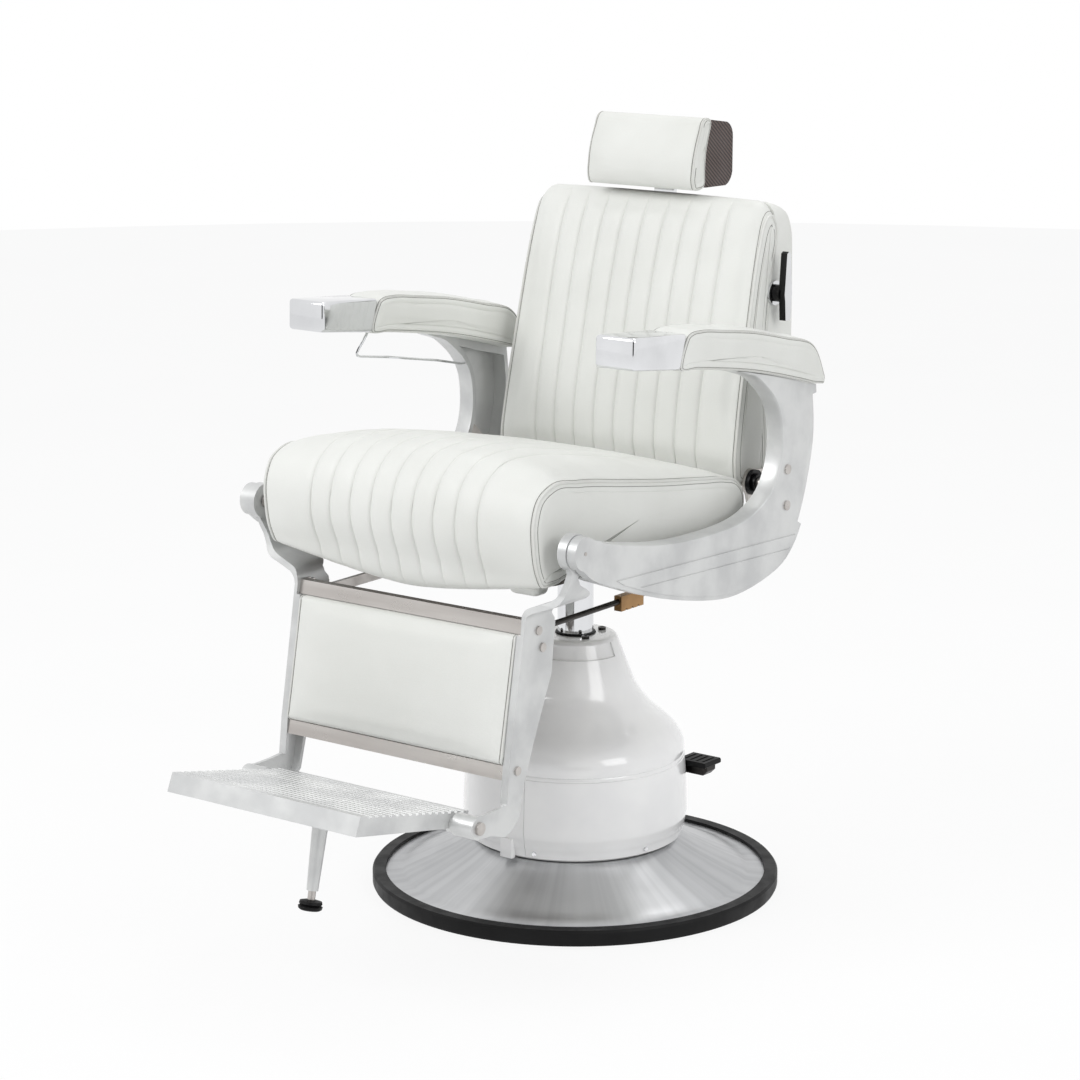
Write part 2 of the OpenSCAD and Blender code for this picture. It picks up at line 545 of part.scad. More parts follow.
// Rows of the arm pad: place, then height of its top
arm_pad_rows = [[-192, 345], [-189, 352], [-178, 357], [-150, 358], [-77, 350.5], [-34, 345], [5, 339], [40, 332], [78, 323.5], [110, 316],
    [145, 309], [172, 301], [190, 288], [205, 266], [214, 247], [219, 236]];
pad_groove = bar_strip_w / 2 + 0.5;
slant_run = 130;
// The rows lean with the tip's rear face at the front and stand upright further back
module arm_pad() at_seat() sweep_flat([for (r = arm_pad_rows) let (y = r[0], z = arm_low(y) + 0.1, h = r[1] - z,
    w = arm_w / 2 - (y < -191 ? 3 : 0), d = min(bar_strip_t + 0.4, h * 0.6), g = pad_groove,
    k = tip_slant * max(1 - (y - arm_pad_rows[0][0]) / slant_run, 0))
    [for (q = [[-g, 0], [-g, d], [g, d], [g, 0], [w - 3, 0], [w, min(5, h * 0.3)], [w + 1, h * 0.5],
        [w, max(h - 9, h * 0.65)], [w - 8, max(h - 2, h * 0.9)], [w - 20, h], [20 - w, h], [8 - w, max(h - 2, h * 0.9)],
        [-w, max(h - 9, h * 0.65)], [-w - 1, h * 0.5], [-w, min(5, h * 0.3)], [3 - w, 0]])
        [arm_x + q[0], y + k * (z + q[1] - tip_low_z), z + q[1]]]],
    concat(fan(2, 3, 9), [[2, 9, 10], [2, 10, 1]], fan(1, 10, 15), [[1, 15, 0]]));
module arm_pad_left() color(LEATHER) arm_pad();
module arm_pad_right() color(LEATHER) right() arm_pad();
// Bent wire below the right arm
wire_r = 2.2;
wire_gap = 0.8;
wire_x = 301;
wire_path = [[-167, arm_low(-167) - wire_gap], [-167.3, arm_low(-167) - 4], [-171, 291], [-180, 281], [-191, 270.5],
    [-195.5, 264.5], [-194, 260.3], [-188, 258.2], [-119, 248], [12, 225], [70, 212.2], [80, 210.3], [88.2, 210.6]];
wire_sides = 8;
module towel_rail() color(CHROME) right() at_seat() sweep_flat([for (i = [0 : len(wire_path) - 1])
    let (p = wire_path[i], t = unit(wire_path[min(i + 1, len(wire_path) - 1)] - wire_path[max(i - 1, 0)]))
    [for (k = [0 : wire_sides - 1]) let (a = -360 * k / wire_sides)
        [wire_x + wire_r * cos(a), p[0] - wire_r * sin(a) * t[1], p[1] + wire_r * sin(a) * t[0]]]],
    fan(0, 1, wire_sides - 1));

// ---------- back ----------
back_foot = 58;
back_top = 506;
function back_half(z) = back_low + (back_high - back_low) * min(max((z - 84) / 426, 0), 1);
function board_y(z) = 172 + (z - back_foot) * 0.1445;
corner_r = 27;
function corner_drop(s) = abs(s) < 0.89 ? 0 : corner_r * pow((abs(s) - 0.89) / 0.11, 2);
function back_section(x) = let (s = x / back_low, c = back_crown * fade(s), g = drawn(x), d = corner_drop(s))
    [[board_y(back_foot) - seat_gap, back_foot], [128, back_foot], [114 + g / 2, 68], [110 + g - c * 0.4, 92],
    [116 + g - c * 0.8, 140], [128 + g - c, 200], [144 + g - c, 270], [160 + g - c, 340], [176 + g - c * 0.8, 410 - d / 3],
    [190 + g - c * 0.5, 464 - d * 0.8], [200 + g * 0.7 - c * 0.2, 494 - d], [211, 508 - d + c * 0.2],
    [226, 510 - d + c * 0.2], [board_y(back_top - 4 - d) - seat_gap, back_top - 4 - d],
    [board_y(380 - d / 3) - seat_gap, 380 - d / 3], [board_y(220) - seat_gap, 220]];
// Widens or narrows the plain margins beside the channels with the height
function back_x(x, z) = let (m = (channel_seams - 1) / 2 * channel_pitch + 8) abs(x) <= m ? x
    : sign(x) * (m + (abs(x) - m) * (back_half(z) - m) / (back_low - m));
module back_cushion() color(LEATHER) at_seat() skin([for (x = stations(back_low))
    [for (q = pull(back_section(x), edge_in(x, back_low))) [back_x(x, q[1]), q[0], q[1]]]], [2, 0, 0]);
rear_line = curve([[back_top, 246], [490, 268], [460, 282], [425, 284], [300, 279], [120, 268], [62, 262], [46, 250]], 3);
shell_side = concat([[board_y(back_top), back_top]], [for (q = rear_line) [q[1], q[0]]],
    [[180, 46], [board_y(back_foot), back_foot]]);
module back_front(t) rotate([90, 0, 0]) linear_extrude(700, center = true) polygon(concat(
    [[-back_low + t, 40], [back_low - t, 40], [back_low - t, 84]],
    arc([back_half(back_top) - corner_r, back_top - corner_r], corner_r - t, 0, 90, 10),
    arc([-back_half(back_top) + corner_r, back_top - corner_r], corner_r - t, 90, 180, 10), [[-back_low + t, 84]]));
shell_wall = 7;
stem_lean = 9;
stem_foot = [249 - (back_top + 3 - 330) * tan(stem_lean), 330];
knob_z = 362;
function stem_y(z) = stem_foot[0] + (z - stem_foot[1]) * tan(stem_lean);
module stem_box(w, t, z0, z1) translate([0, stem_foot[0], stem_foot[1]]) rotate([-stem_lean, 0, 0])
    translate([-w / 2, -t / 2, z0]) cube([w, t, z1 - z0]);
module back_shell() color(LEATHER) at_seat() difference() {
    intersection() {
        slab(-back_low - 1, back_low + 1, shell_side);
        back_front(0);
    }
    intersection() {
        slab(-back_low, back_low, concat([[board_y(back_top - shell_wall) + shell_wall, back_top - shell_wall]],
            [for (q = rear_line) if (q[0] < back_top - shell_wall && q[0] > 60) [q[1] - shell_wall, q[0]]],
            [[200, 60], [board_y(66) + shell_wall, 66]]));
        back_front(shell_wall);
    }
    stem_box(stem_w + 1.2, stem_t + 1.2, 100, 260);
    // Channel for the guide in the front wall
    intersection() {
        stem_box(stem_w + 18, guide_t + 16, guide_low - 2, guide_high + 20);
        translate([-100, 0, 0]) cube([200, 400, back_top - shell_wall]);
    }
    xbar(stem_w / 2 + 8, 260, [stem_y(knob_z), knob_z], 6 + seat_gap);
}
rod_offset = [40, -140];
rod_pin_r = 5;
module lever_outline(x0, x1) difference() {
    union() {
        xbar(x0, x1, back_pivot, 22);
        xbar(x0, x1, back_pivot + rod_offset, 13);
        slab(x0, x1, [back_pivot + [-20, 2], back_pivot + [20, 12], back_pivot + rod_offset + [12.5, 4],
            back_pivot + rod_offset + [-12.5, -3]]);
        slab(back_low + seat_gap, x1, [back_pivot + [24, 18], back_pivot + [62, 14], back_pivot + [62, -6],
            back_pivot + [24, -14]]);
        slab(x0, x1, [back_pivot + [5, 20], back_pivot + [26, 17.8], back_pivot + [26, -14], back_pivot + [10, -16]]);
        xbar(x1 - 1, x1 + 4, back_pivot + [48, 4], 6);
    }
    xbar(x0 - 1, x1 + 1, back_pivot, pivot_r + run);
    xbar(x0 - 1, x1 + 1, back_pivot + rod_offset, rod_pin_r + run);
}
module back_levers() color(STEEL) at_seat() both() {
    lever_outline(lever_x, lever_x + lever_plate);
}
guide_low = 0.5;
guide_high = 169;
guide_t = stem_t + 10;
module stem_guide() color(IRON) at_seat() difference() {
    union() {
        stem_box(stem_w + 16, guide_t, guide_low, guide_high);
        // Flanges on the inner side of the shell's front wall
        slab(-75, 75, [for (q = [[385, 0], [385, 4], [480, 4], [480, 0]])
            [board_y(q[0]) + shell_wall + seat_gap + q[1], q[0]]]);
    }
    stem_box(stem_w + 0.6, stem_t + 0.6, guide_low - 1, guide_high + 1);
    xbar(stem_w / 2 - 4, 60, [stem_y(knob_z), knob_z], 4);
}
knob_face = back_half(knob_z - 22) + seat_gap;
module knob_escutcheon() color(CHROME) at_seat() difference() {
    xbar(knob_face, knob_face + 4, [stem_y(knob_z), knob_z], 20);
    xbar(knob_face - 1, knob_face + 5, [stem_y(knob_z), knob_z], 6 + run);
}
module clamp_screw() color(CHROME) at_seat() {
    xbar(stem_w / 2 + 9, knob_face + 16, [stem_y(knob_z), knob_z], 6);
    xbar(stem_w / 2 + seat_gap + 0.2, stem_w / 2 + 10, [stem_y(knob_z), knob_z], 3.6);
}
// Two-armed wing knob, longer upwards
wing = [[-7, -43], [7, -43], [9, -12], [11, 0], [9, 20], [5, 66], [0, 69], [-5, 66], [-9, 20], [-11, 0], [-9, -12]];
module clamp_knob() color(BLACK) at_seat() difference() {
    union() {
        xbar(knob_face + 5, knob_face + 18, [stem_y(knob_z), knob_z], 14);
        slab(knob_face + 16, knob_face + 28, [for (q = wing) [stem_y(knob_z), knob_z] + q]);
    }
    xbar(knob_face + 4, knob_face + 16.3, [stem_y(knob_z), knob_z], 6 + run);
}

// ---------- headrest ----------
head_pivot = [stem_y(568), 568];
stem_len = (568 - stem_foot[1]) / cos(stem_lean);
module headrest_stem() color(CHROME) at_seat() difference() {
    union() {
        stem_box(stem_w, stem_t, 4, stem_len - 6);
        xbar(1 - stem_w / 2, stem_w / 2 - 1, head_pivot, 11);
    }
    xbar(-stem_w, stem_w, head_pivot, 5 + run);
}
body_x = 93;
module headrest_hinge_pin() color(STEEL) at_seat() xbar(-stem_w / 2 - 12, stem_w / 2 + 12, head_pivot, 5);
module headrest_body() color(BROWN) at_seat() difference() {
    slab(-body_x, body_x, concat([[207, 527], [214, 587], [228, 631], [240, 634]],
        arc([284, 602], 26, 72, 0, 6), arc([282, 549], 28, -10, -75, 6), [[231, 523]]));
    translate([-stem_w / 2 - 1, head_pivot[0] - 16, 510]) cube([stem_w + 2, 32, 58]);
    xbar(-stem_w / 2 - 1, stem_w / 2 + 1, head_pivot, 16);
    xbar(-stem_w / 2 - 12.3, stem_w / 2 + 12.3, head_pivot, 5 + run);
}
head_xs = [-1, -0.97, -0.9, -0.6, -0.2, 0.2, 0.6, 0.9, 0.97, 1];
module headrest_pad() color(LEATHER) at_seat() skin([for (s = head_xs) let (b = 8 * fade(s, 4))
    [for (q = pull([[206.5, 526], [190, 522.5], [179, 523.5], [174 - b * 0.5, 534], [176 - b, 560], [184 - b, 592],
        [195 - b * 0.6, 619], [203, 636], [212, 640], [226.2, 636], [220.7, 610], [213.6, 587], [210, 556]],
        abs(s) == 1 ? 4 : abs(s) > 0.95 ? 1 : 0)) [s * head_w, q[0], q[1]]]], [1, 0, 0]);

// ---------- leg rest ----------
lip_w = 13;
hinge_drop_z = -hinge_drop;
plate_hinge = [-554, hinge_drop_z];
rail_front = [[-438, -66], [-446, -114], [-475, -276], [-482, -334]];
rail_rear = [[-361, -72], [-371, -154], [-412, -244], [-439, -312], [-453, -362], [-468, -376], [-487, -384]];
// The rear flange starts below the rod
flange_line = concat([[-364, -98]], part_of(rail_rear, 1, len(rail_rear) - 1));
rail_outline = concat(rail_front, [[-505, -336], [-540, -337]], arc(plate_hinge, 18, 100, 262, 10), [[-520, -374]],
    back_to_front(rail_rear));
// S-bend of the rail's web, seen from the front
bend_outer = curve([[rail_x, -80], [rail_x, -64], [rail_x + 2, -55], [rail_x + 8, -48], [rail_x + 18, -43.5],
    [rail_x + 38, -36], [rail_x + 52, -31], [rail_x + 61, -24], [rail_x + 67, -14], [rail_x + 71, -3], [rail_x + 77, 10],
    [head_out - 4, 24], [head_out, 42]], 3);
bend_inner = curve([[rail_x - rail_web, -80], [rail_x - rail_web, -58], [rail_x - 4, -48], [rail_x + 1, -40.5],
    [rail_x + 12, -35], [rail_x + 27, -29.5], [rail_x + 41, -24], [rail_x + 51, -17.5], [rail_x + 57.5, -9],
    [rail_x + 62, 0], [rail_x + 67.5, 12], [head_out - 13, 25], [head_out - 11, 42]], 3);
bend_side = [[-438, -78], [-438, -50], [-434, -30], [-428, -12], [-427, 5], [-430, 22], [-440, 42], [-406, 42], [-414, 24],
    [-408, 12], [-394, -1], [-377, -9], [-363, -17], [-356, -24], [-357, -32], [-366, -40], [-374, -47], [-372, -56],
    [-363, -66], [-361, -78]];
module leg_rail() at_seat() difference() {
    union() {
        slab(rail_x - rail_web, rail_x, rail_outline);
        // Rear flange and front lip of the channel
        slab(rail_x - rail_flange, rail_x - 1, concat(flange_line, back_to_front([for (q = flange_line) q + [-6, 2]])));
        difference() {
            slab(rail_x - lip_w, rail_x - 1, concat(rail_front, back_to_front([for (q = rail_front) q + [6, 0]])));
            slab(rail_x - lip_w - 1, rail_x - rail_web, [for (q = [[-12, seat_gap], [9, seat_gap], [9, -bar_h - seat_gap],
                [-12, -bar_h - seat_gap]]) bar_top + q]);
        }
        intersection() {
            rotate([90, 0, 0]) linear_extrude(1200, center = true) polygon(concat(bend_outer, back_to_front(bend_inner)));
            slab(rail_x - 20, head_out, bend_side);
        }
        xbar(head_in, head_out, leg_pivot, head_r);
        xbar(plate_w + 6, rail_x + 3, plate_hinge, 18);
        xbar(rod_x1 + 0.8, rail_x - 2, leg_pivot + rod_offset, 12);
    }
    xbar(head_in - 1, head_out + 1, leg_pivot, 8 + run);
    xbar(plate_w, rail_x + 6, plate_hinge, 7 + run);
    xbar(rod_x1 - 1, rail_x - pin_cover, leg_pivot + rod_offset, rod_pin_r + run);
    for (q = leg_screw_points) xbar(rail_x - 20, rail_x + 2, q, 4 + run);
}
module leg_rail_left() color(CAST) leg_rail();
module leg_rail_right() color(CAST) right() leg_rail();
bar_top = [-430, -59];
bar_bottom = [-472, -278];
bar_depth = 14;
shelf = 30;
bar_wall = 2.2;
bar_x = rail_x - rail_web - seat_gap;
leg_screw_points = [[-404, -79], [-394, -107], [-457, -287]];
// Channel bar with a shelf for the board behind it and an end plate against each rail
module leg_bar(p, x, top_d, low_d, plate) difference() {
    union() {
        slab(-x, x, [p, p + [top_d, 0], p + [top_d, -bar_wall], p + [bar_wall, -bar_wall],
            p + [bar_wall - 4, bar_wall - bar_h], p + [low_d - 4, bar_wall - bar_h], p + [low_d - 4, -bar_h], p + [-4, -bar_h]]);
        both() slab(bar_x - 3, bar_x, plate);
        both() slab(x - 2, bar_x, [p + [6, 0], p + [shelf - 8, 0], p + [shelf - 8, -bar_wall], p + [6, -bar_wall]]);
    }
    both() for (q = leg_screw_points) xbar(rail_x - 20, rail_x + 2, q, 4 + run);
}
module leg_bar_top() color(STEEL) at_seat() leg_bar(bar_top, bar_x, bar_depth, shelf,
    [[-431, -60], [-399, -62], [-399, -92], [-385, -99], [-385, -116], [-403, -116], [-432, -80]]);
module leg_bar_bottom() color(STEEL) at_seat() leg_bar(bar_bottom, rail_x - lip_w - seat_gap, shelf, bar_depth,
    [[-467, -278.2], [-449, -278.2], [-449, -299], [-467, -299]]);
panel_top = bar_top + [-4, -bar_h];
panel_low = bar_bottom;
panel_x = rail_x - 14;
function along(z) = let (k = (z - panel_low[1]) / (panel_top[1] - panel_low[1])) panel_low[0] + k * (panel_top[0] - panel_low[0]);
module leg_board() color("#b39b78") at_seat() slab(-panel_x + 8, panel_x - 8, [panel_top + [16, -0.5], panel_top + [28, -0.5],
    panel_low + [28, 0.5], panel_low + [16, 0.5]]);
panel_us = [-1, -0.97, -0.85, -0.4, 0, 0.4, 0.85, 0.97, 1];
module leg_pad() color(LEATHER) at_seat() skin([for (s = panel_us) let (b = 9 * fade(s, 4))
    [for (q = pull([for (r = [[15.5, 0.02], [15.5, 0.5], [15.5, 0.98], [6, 1], [-1, 0.97], [-5 - b * 0.5, 0.85],
        [-7 - b, 0.5], [-5 - b * 0.5, 0.15], [-1, 0.03], [6, 0]]) let (z = panel_low[1] + 0.5 + r[1] * (panel_top[1] - panel_low[1] - 1))
        [along(z) + r[0], z]], abs(s) == 1 ? 3 : abs(s) > 0.95 ? 0.8 : 0)) [s * panel_x, q[0], q[1]]]], [1, 0, 0]);
module leg_screws() color(CHROME) at_seat() both() for (q = leg_screw_points) {
    xbar(rail_x - rail_web - 6, rail_x + 1, q, 4);
    xbar(rail_x + 0.1, rail_x + 3, q, 7);
}

// ---------- links ----------
rod_x1 = rail_x - rail_web - 5;
rod_x0 = rod_x1 - 9.5;
flat_t = 7;
pin_cover = 2;
rod_r = 4.5;
rod_front = leg_pivot + rod_offset;
rod_rear = back_pivot + rod_offset;
rod_angle = atan2(rod_rear[1] - rod_front[1], rod_rear[0] - rod_front[0]);
rod_mid = (rod_x0 + rod_x1) / 2;
module link_rod_left() color(IRON) at_seat() {
    difference() {
        union() {
            for (q = [rod_front, rod_rear]) xbar(rod_x0, rod_x1, q, 12);
            translate([rod_mid, rod_front[0] + 10, rod_front[1]]) rotate([rod_angle - 90, 0, 0])
                cylinder(r = rod_r, h = norm(rod_rear - rod_front) - 20);
        }
        for (q = [rod_front, rod_rear]) xbar(rod_x0 - 1, rod_x1 + 1, q, rod_pin_r + run);
    }
    link_pins(rod_x1);
}
// Pins of both ends, each through the plate beside it, with a spacer up to the lever at the rear
module link_pins(x1) {
    xbar(rod_x0 - 3, rail_x - pin_cover - seat_gap, rod_front, rod_pin_r - run);
    xbar(rod_x0 - 3, lever_x + lever_plate + 2, rod_rear, rod_pin_r - run);
    xbar(x1 - 0.5, lever_x - 0.6, rod_rear, 8);
}
block_y = -147;
block_size = [14, 60, 24];
module link_block_left() color(BRONZE) at_seat() difference() {
    translate([rod_mid, block_y, rod_front[1] - 1]) cube(block_size, center = true);
    translate([rod_mid, rod_front[0] + 10, rod_front[1]]) rotate([rod_angle - 90, 0, 0])
        cylinder(r = rod_r + run, h = norm(rod_rear - rod_front) - 20);
    for (y = [-16, 0, 16]) translate([rod_mid - 12, block_y + y - 2, rod_front[1] - 14]) cube([24, 4, 4]);
}
module link_bar_right() color(STEEL) right() at_seat() {
    difference() {
        union() {
            for (q = [rod_front, rod_rear]) xbar(rod_x0, rod_x0 + flat_t, q, 12);
            slab(rod_x0, rod_x0 + flat_t, [rod_front + [0, -8], rod_rear + [0, -8], rod_rear + [0, 8], rod_front + [0, 8]]);
        }
        for (q = [rod_front, rod_rear]) xbar(rod_x0 - 1, rod_x1 + 1, q, rod_pin_r + run);
    }
    link_pins(rod_x0 + flat_t);
}

// ---------- foot plate ----------
plate_tilt = 12;
plate_up = 18;
plate_back = 30;
plate_t = 26;
rib_step = (plate_l + plate_back - 22) / plate_ribs;
// Side view of the plate with its hinge at the origin: ribbed top, plain front lip
plate_side = concat([[plate_back, plate_up - 16], [plate_back, plate_up]],
    [for (i = [0 : plate_ribs - 1]) let (y = plate_back - 4 - i * rib_step) each [[y - rib_step * 0.5, plate_up],
        [y - rib_step * 0.55, plate_up - groove_depth], [y - rib_step * 0.95, plate_up - groove_depth], [y - rib_step, plate_up]]],
    [[-plate_l, plate_up], [-plate_l - 6, plate_up - plate_t - 4], [-plate_l + 8, plate_up - plate_t - 4], [-20, plate_up - plate_t],
        [16, plate_up - 24]]);
module at_hinge() at_seat() translate([0, plate_hinge[0], plate_hinge[1]]) rotate([-plate_tilt, 0, 0]) children();
module foot_plate() color(CAST) at_hinge() difference() {
    union() {
        difference() {
            slab(-plate_w, plate_w, plate_side);
            for (s = [0, 1]) mirror([s, 0, 0]) slab(20, plate_w - 7, [[14, plate_up - 9], [-plate_l + 6, plate_up - 9],
                [-plate_l + 2, plate_up - 40], [14, plate_up - 40]]);
        }
        both() xbar(plate_w - 8, plate_w + 5.5, [0, 0], 15);
        translate([0, stand_y, plate_up - plate_t - 6]) cylinder(r = 19, h = plate_t);
    }
    both() xbar(plate_w - 12, plate_w + 8, [0, 0], 7 + run);
    translate([0, stand_y, plate_up - plate_t - 8]) cylinder(r = 8 + run, h = 14);
}
module plate_bolts() color(CHROME) at_seat() both() {
    xbar(plate_w - 11, rail_x + 3, plate_hinge, 7);
    xbar(rail_x + 3.1, rail_x + 7.5, plate_hinge, 10);
    xbar(rail_x + 3, rail_x + 4, plate_hinge, 7);
}
stand_y = -88;
stand_top = plate_up - plate_t - 6;
foot_h = 16;
stem_h = 14;
module stand_leg() color(CAST) at_hinge() translate([0, stand_y, 0]) rotate([plate_tilt - 12, 0, 0]) {
    translate([0, 0, stand_top - 0.3 - (stand_l - foot_h - stem_h)]) cylinder(r1 = 9, r2 = 13, h = stand_l - foot_h - stem_h);
    translate([0, 0, stand_top - 2]) cylinder(r = 8, h = 12);
}
module stand_stem() color(STEEL) at_hinge() translate([0, stand_y, stand_top - stand_l + foot_h - 0.2])
    cylinder(r = 6, h = stem_h - 0.4);
module stand_foot() color(BLACK) at_hinge() translate([0, stand_y, stand_top - stand_l - 0.5]) rotate_extrude()
    polygon([[0, 0], [15, 0], [18, 2], [19, 6], [16, 8], [18, 10], [17, 14], [9, foot_h], [0, foot_h]]);

base_casting();
base_cover();
base_ring();
pump_cylinder();
ram_bush();
ram_seal();
bell_cover();
bell_screws();
band_left();
band_right();
band_screws();
pump_block();
pedal_bracket();
pedal_pin();
pedal_lever();
pedal_pad();
pump_plunger();
ram();
seat_frame();
frame_pads();
seat_board();
seat_cushion();
side_frame_left();
side_frame_right();
frame_bolts();
leg_pivot_pins();
recline_pivots();
pivot_caps();
arm_bar_left();
arm_bar_right();
arm_tip_left();
arm_tip_right();
arm_pad_left();
arm_pad_right();
towel_rail();
back_shell();
back_cushion();
back_levers();
stem_guide();
knob_escutcheon();
headrest_stem();
headrest_hinge_pin();
headrest_body();
headrest_pad();
clamp_knob();
clamp_screw();
leg_rail_left();
leg_rail_right();
leg_bar_top();
leg_bar_bottom();
leg_board();
leg_pad();
leg_screws();
link_rod_left();
link_block_left();
link_bar_right();
foot_plate();
plate_bolts();
stand_leg();
stand_stem();
stand_foot();
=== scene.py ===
"""Looks of a hydraulic barber chair, built around its packed construction."""

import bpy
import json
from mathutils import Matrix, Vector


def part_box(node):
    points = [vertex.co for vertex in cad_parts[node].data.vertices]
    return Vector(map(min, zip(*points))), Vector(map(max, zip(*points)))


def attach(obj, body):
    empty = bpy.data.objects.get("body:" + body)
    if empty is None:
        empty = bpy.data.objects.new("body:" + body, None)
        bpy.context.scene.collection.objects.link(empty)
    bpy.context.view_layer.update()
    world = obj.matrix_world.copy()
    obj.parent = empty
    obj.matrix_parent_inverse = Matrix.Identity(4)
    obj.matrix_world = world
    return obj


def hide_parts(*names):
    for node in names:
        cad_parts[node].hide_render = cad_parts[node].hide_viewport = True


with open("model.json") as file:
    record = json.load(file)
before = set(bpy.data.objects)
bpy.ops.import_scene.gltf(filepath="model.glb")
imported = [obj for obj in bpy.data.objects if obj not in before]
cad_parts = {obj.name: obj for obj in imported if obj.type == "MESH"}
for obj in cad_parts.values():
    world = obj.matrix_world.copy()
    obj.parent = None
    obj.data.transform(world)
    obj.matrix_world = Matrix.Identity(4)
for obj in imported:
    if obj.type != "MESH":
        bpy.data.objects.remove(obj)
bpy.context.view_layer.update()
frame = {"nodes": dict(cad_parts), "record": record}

import json
import logging
import math
from dataclasses import dataclass, field
from enum import Enum
from typing import Callable

import bmesh
import bpy
from mathutils import Euler, Vector
from mathutils.kdtree import KDTree

LOG = logging.getLogger("barber_chair")
SEAT_LINE = 626.0  # height of the seat frame's own zero above the floor, mm
CLOTH_STEPS = 20  # frames of the simulation that fills a cushion
CLOTH_PRESSURE = 4.0
NEIGHBOURS = 12  # cloth points that move one point of the sewn cover
GRAIN = 700.0  # pebbles of leather grain in a metre
SEWN_REACH = 20.5  # how far a seam's rounding reaches to each side, mm
Ring = list[tuple[float, float]]


def linear(code: str) -> tuple[float, float, float, float]:
    """Turns a written colour into the shader's own numbers.

    Args:
        code: six hexadecimal digits.

    Returns:
        Red, green, blue and alpha in linear light.
    """
    parts = [int(code[i:i + 2], 16) / 255 for i in (0, 2, 4)]
    return (*[p / 12.92 if p < 0.04045 else ((p + 0.055) / 1.055) ** 2.4 for p in parts], 1.0)


class Value:
    """A number that varies over a surface, worked with as a plain number."""

    def __init__(self, graph: "Graph", socket: bpy.types.NodeSocket) -> None:
        """Keeps the graph and the socket that carries the value."""
        self.graph, self.socket = graph, socket

    def math(self, operation: str, *others: "Value | float", first: float | None = None) -> "Value":
        """Adds one Math node.

        Args:
            operation: the Math node's operation.
            others: the further operands.
            first: a plain number that stands before this value.

        Returns:
            The node's result.
        """
        line = ([first] if first is not None else []) + [self, *others]
        node = self.graph.node("Math", {"operation": operation}, dict(enumerate(line)))
        return Value(self.graph, node.outputs[0])

    def __add__(self, other: "Value | float") -> "Value":
        """Sum."""
        return self.math("ADD", other)

    __radd__ = __add__

    def __sub__(self, other: "Value | float") -> "Value":
        """Difference."""
        return self.math("SUBTRACT", other)

    def __rsub__(self, other: float) -> "Value":
        """Difference from a plain number."""
        return self.math("SUBTRACT", first=other)

    def __mul__(self, other: "Value | float") -> "Value":
        """Product."""
        return self.math("MULTIPLY", other)

    __rmul__ = __mul__

    def __pow__(self, other: float) -> "Value":
        """Power."""
        return self.math("POWER", other)

    def between(self, low: float, high: float,
                to_low: float = 0.0, to_high: float = 1.0) -> "Value":
        """Spreads the span low to high smoothly over to_low to to_high."""
        node = self.graph.node("MapRange", {"interpolation_type": "SMOOTHSTEP"},
                               {0: self, 1: low, 2: high, 3: to_low, 4: to_high})
        return Value(self.graph, node.outputs[0])


class Graph:
    """The nodes of one material."""

    def __init__(self, name: str) -> None:
        """Makes an empty material with its output."""
        self.material = bpy.data.materials.new(name)
        self.material.use_nodes = True
        self.nodes, self.links = self.material.node_tree.nodes, self.material.node_tree.links
        self.nodes.clear()
        self.output = self.nodes.new("ShaderNodeOutputMaterial")
        self.place = self.node("TexCoord", {}, {}).outputs["Object"]

    def node(self, kind: str, settings: dict, inputs: dict) -> bpy.types.Node:
        """Adds a node, sets it and joins it.

        Args:
            kind: the shader node's type without its prefix.
            settings: its own settings by name.
            inputs: values, sockets or Value objects by socket name or number.

        Returns:
            The node.
        """
        node = self.nodes.new("ShaderNode" + kind)
        for key, value in settings.items():
            setattr(node, key, value)
        for key, value in inputs.items():
            value = value.socket if isinstance(value, Value) else value
            if isinstance(value, bpy.types.NodeSocket):
                self.links.new(value, node.inputs[key])
            else:
                node.inputs[key].default_value = value
        return node

    def axis(self, name: str) -> Value:
        """One coordinate of the piece, in metres."""
        return Value(self, self.node("SeparateXYZ", {}, {0: self.place}).outputs[name])

    def stretched(self, scale: tuple[float, float, float]) -> bpy.types.NodeSocket:
        """The piece's coordinates, each times its own scale."""
        made = self.node("VectorMath", {"operation": "MULTIPLY"}, {0: self.place, 1: scale})
        return made.outputs[0]

    def noise(self, scale: float, detail: float = 3.0,
              vector: bpy.types.NodeSocket | None = None) -> Value:
        """Cloudy noise from 0 to 1 at that many clouds a metre."""
        made = self.node("TexNoise", {},
                         {"Vector": vector or self.place, "Scale": scale, "Detail": detail})
        return Value(self, made.outputs[0])

    def cells(self, scale: float) -> Value:
        """Distance from the edges of small cells, as in leather grain."""
        made = self.node("TexVoronoi", {"feature": "DISTANCE_TO_EDGE"},
                         {"Vector": self.place, "Scale": scale})
        return Value(self, made.outputs[0])

    def mix(self, share: Value, low: str, high: str) -> bpy.types.NodeSocket:
        """A colour between two written ones."""
        made = self.node("Mix", {"data_type": "RGBA"}, {0: share, 6: linear(low), 7: linear(high)})
        return made.outputs[2]


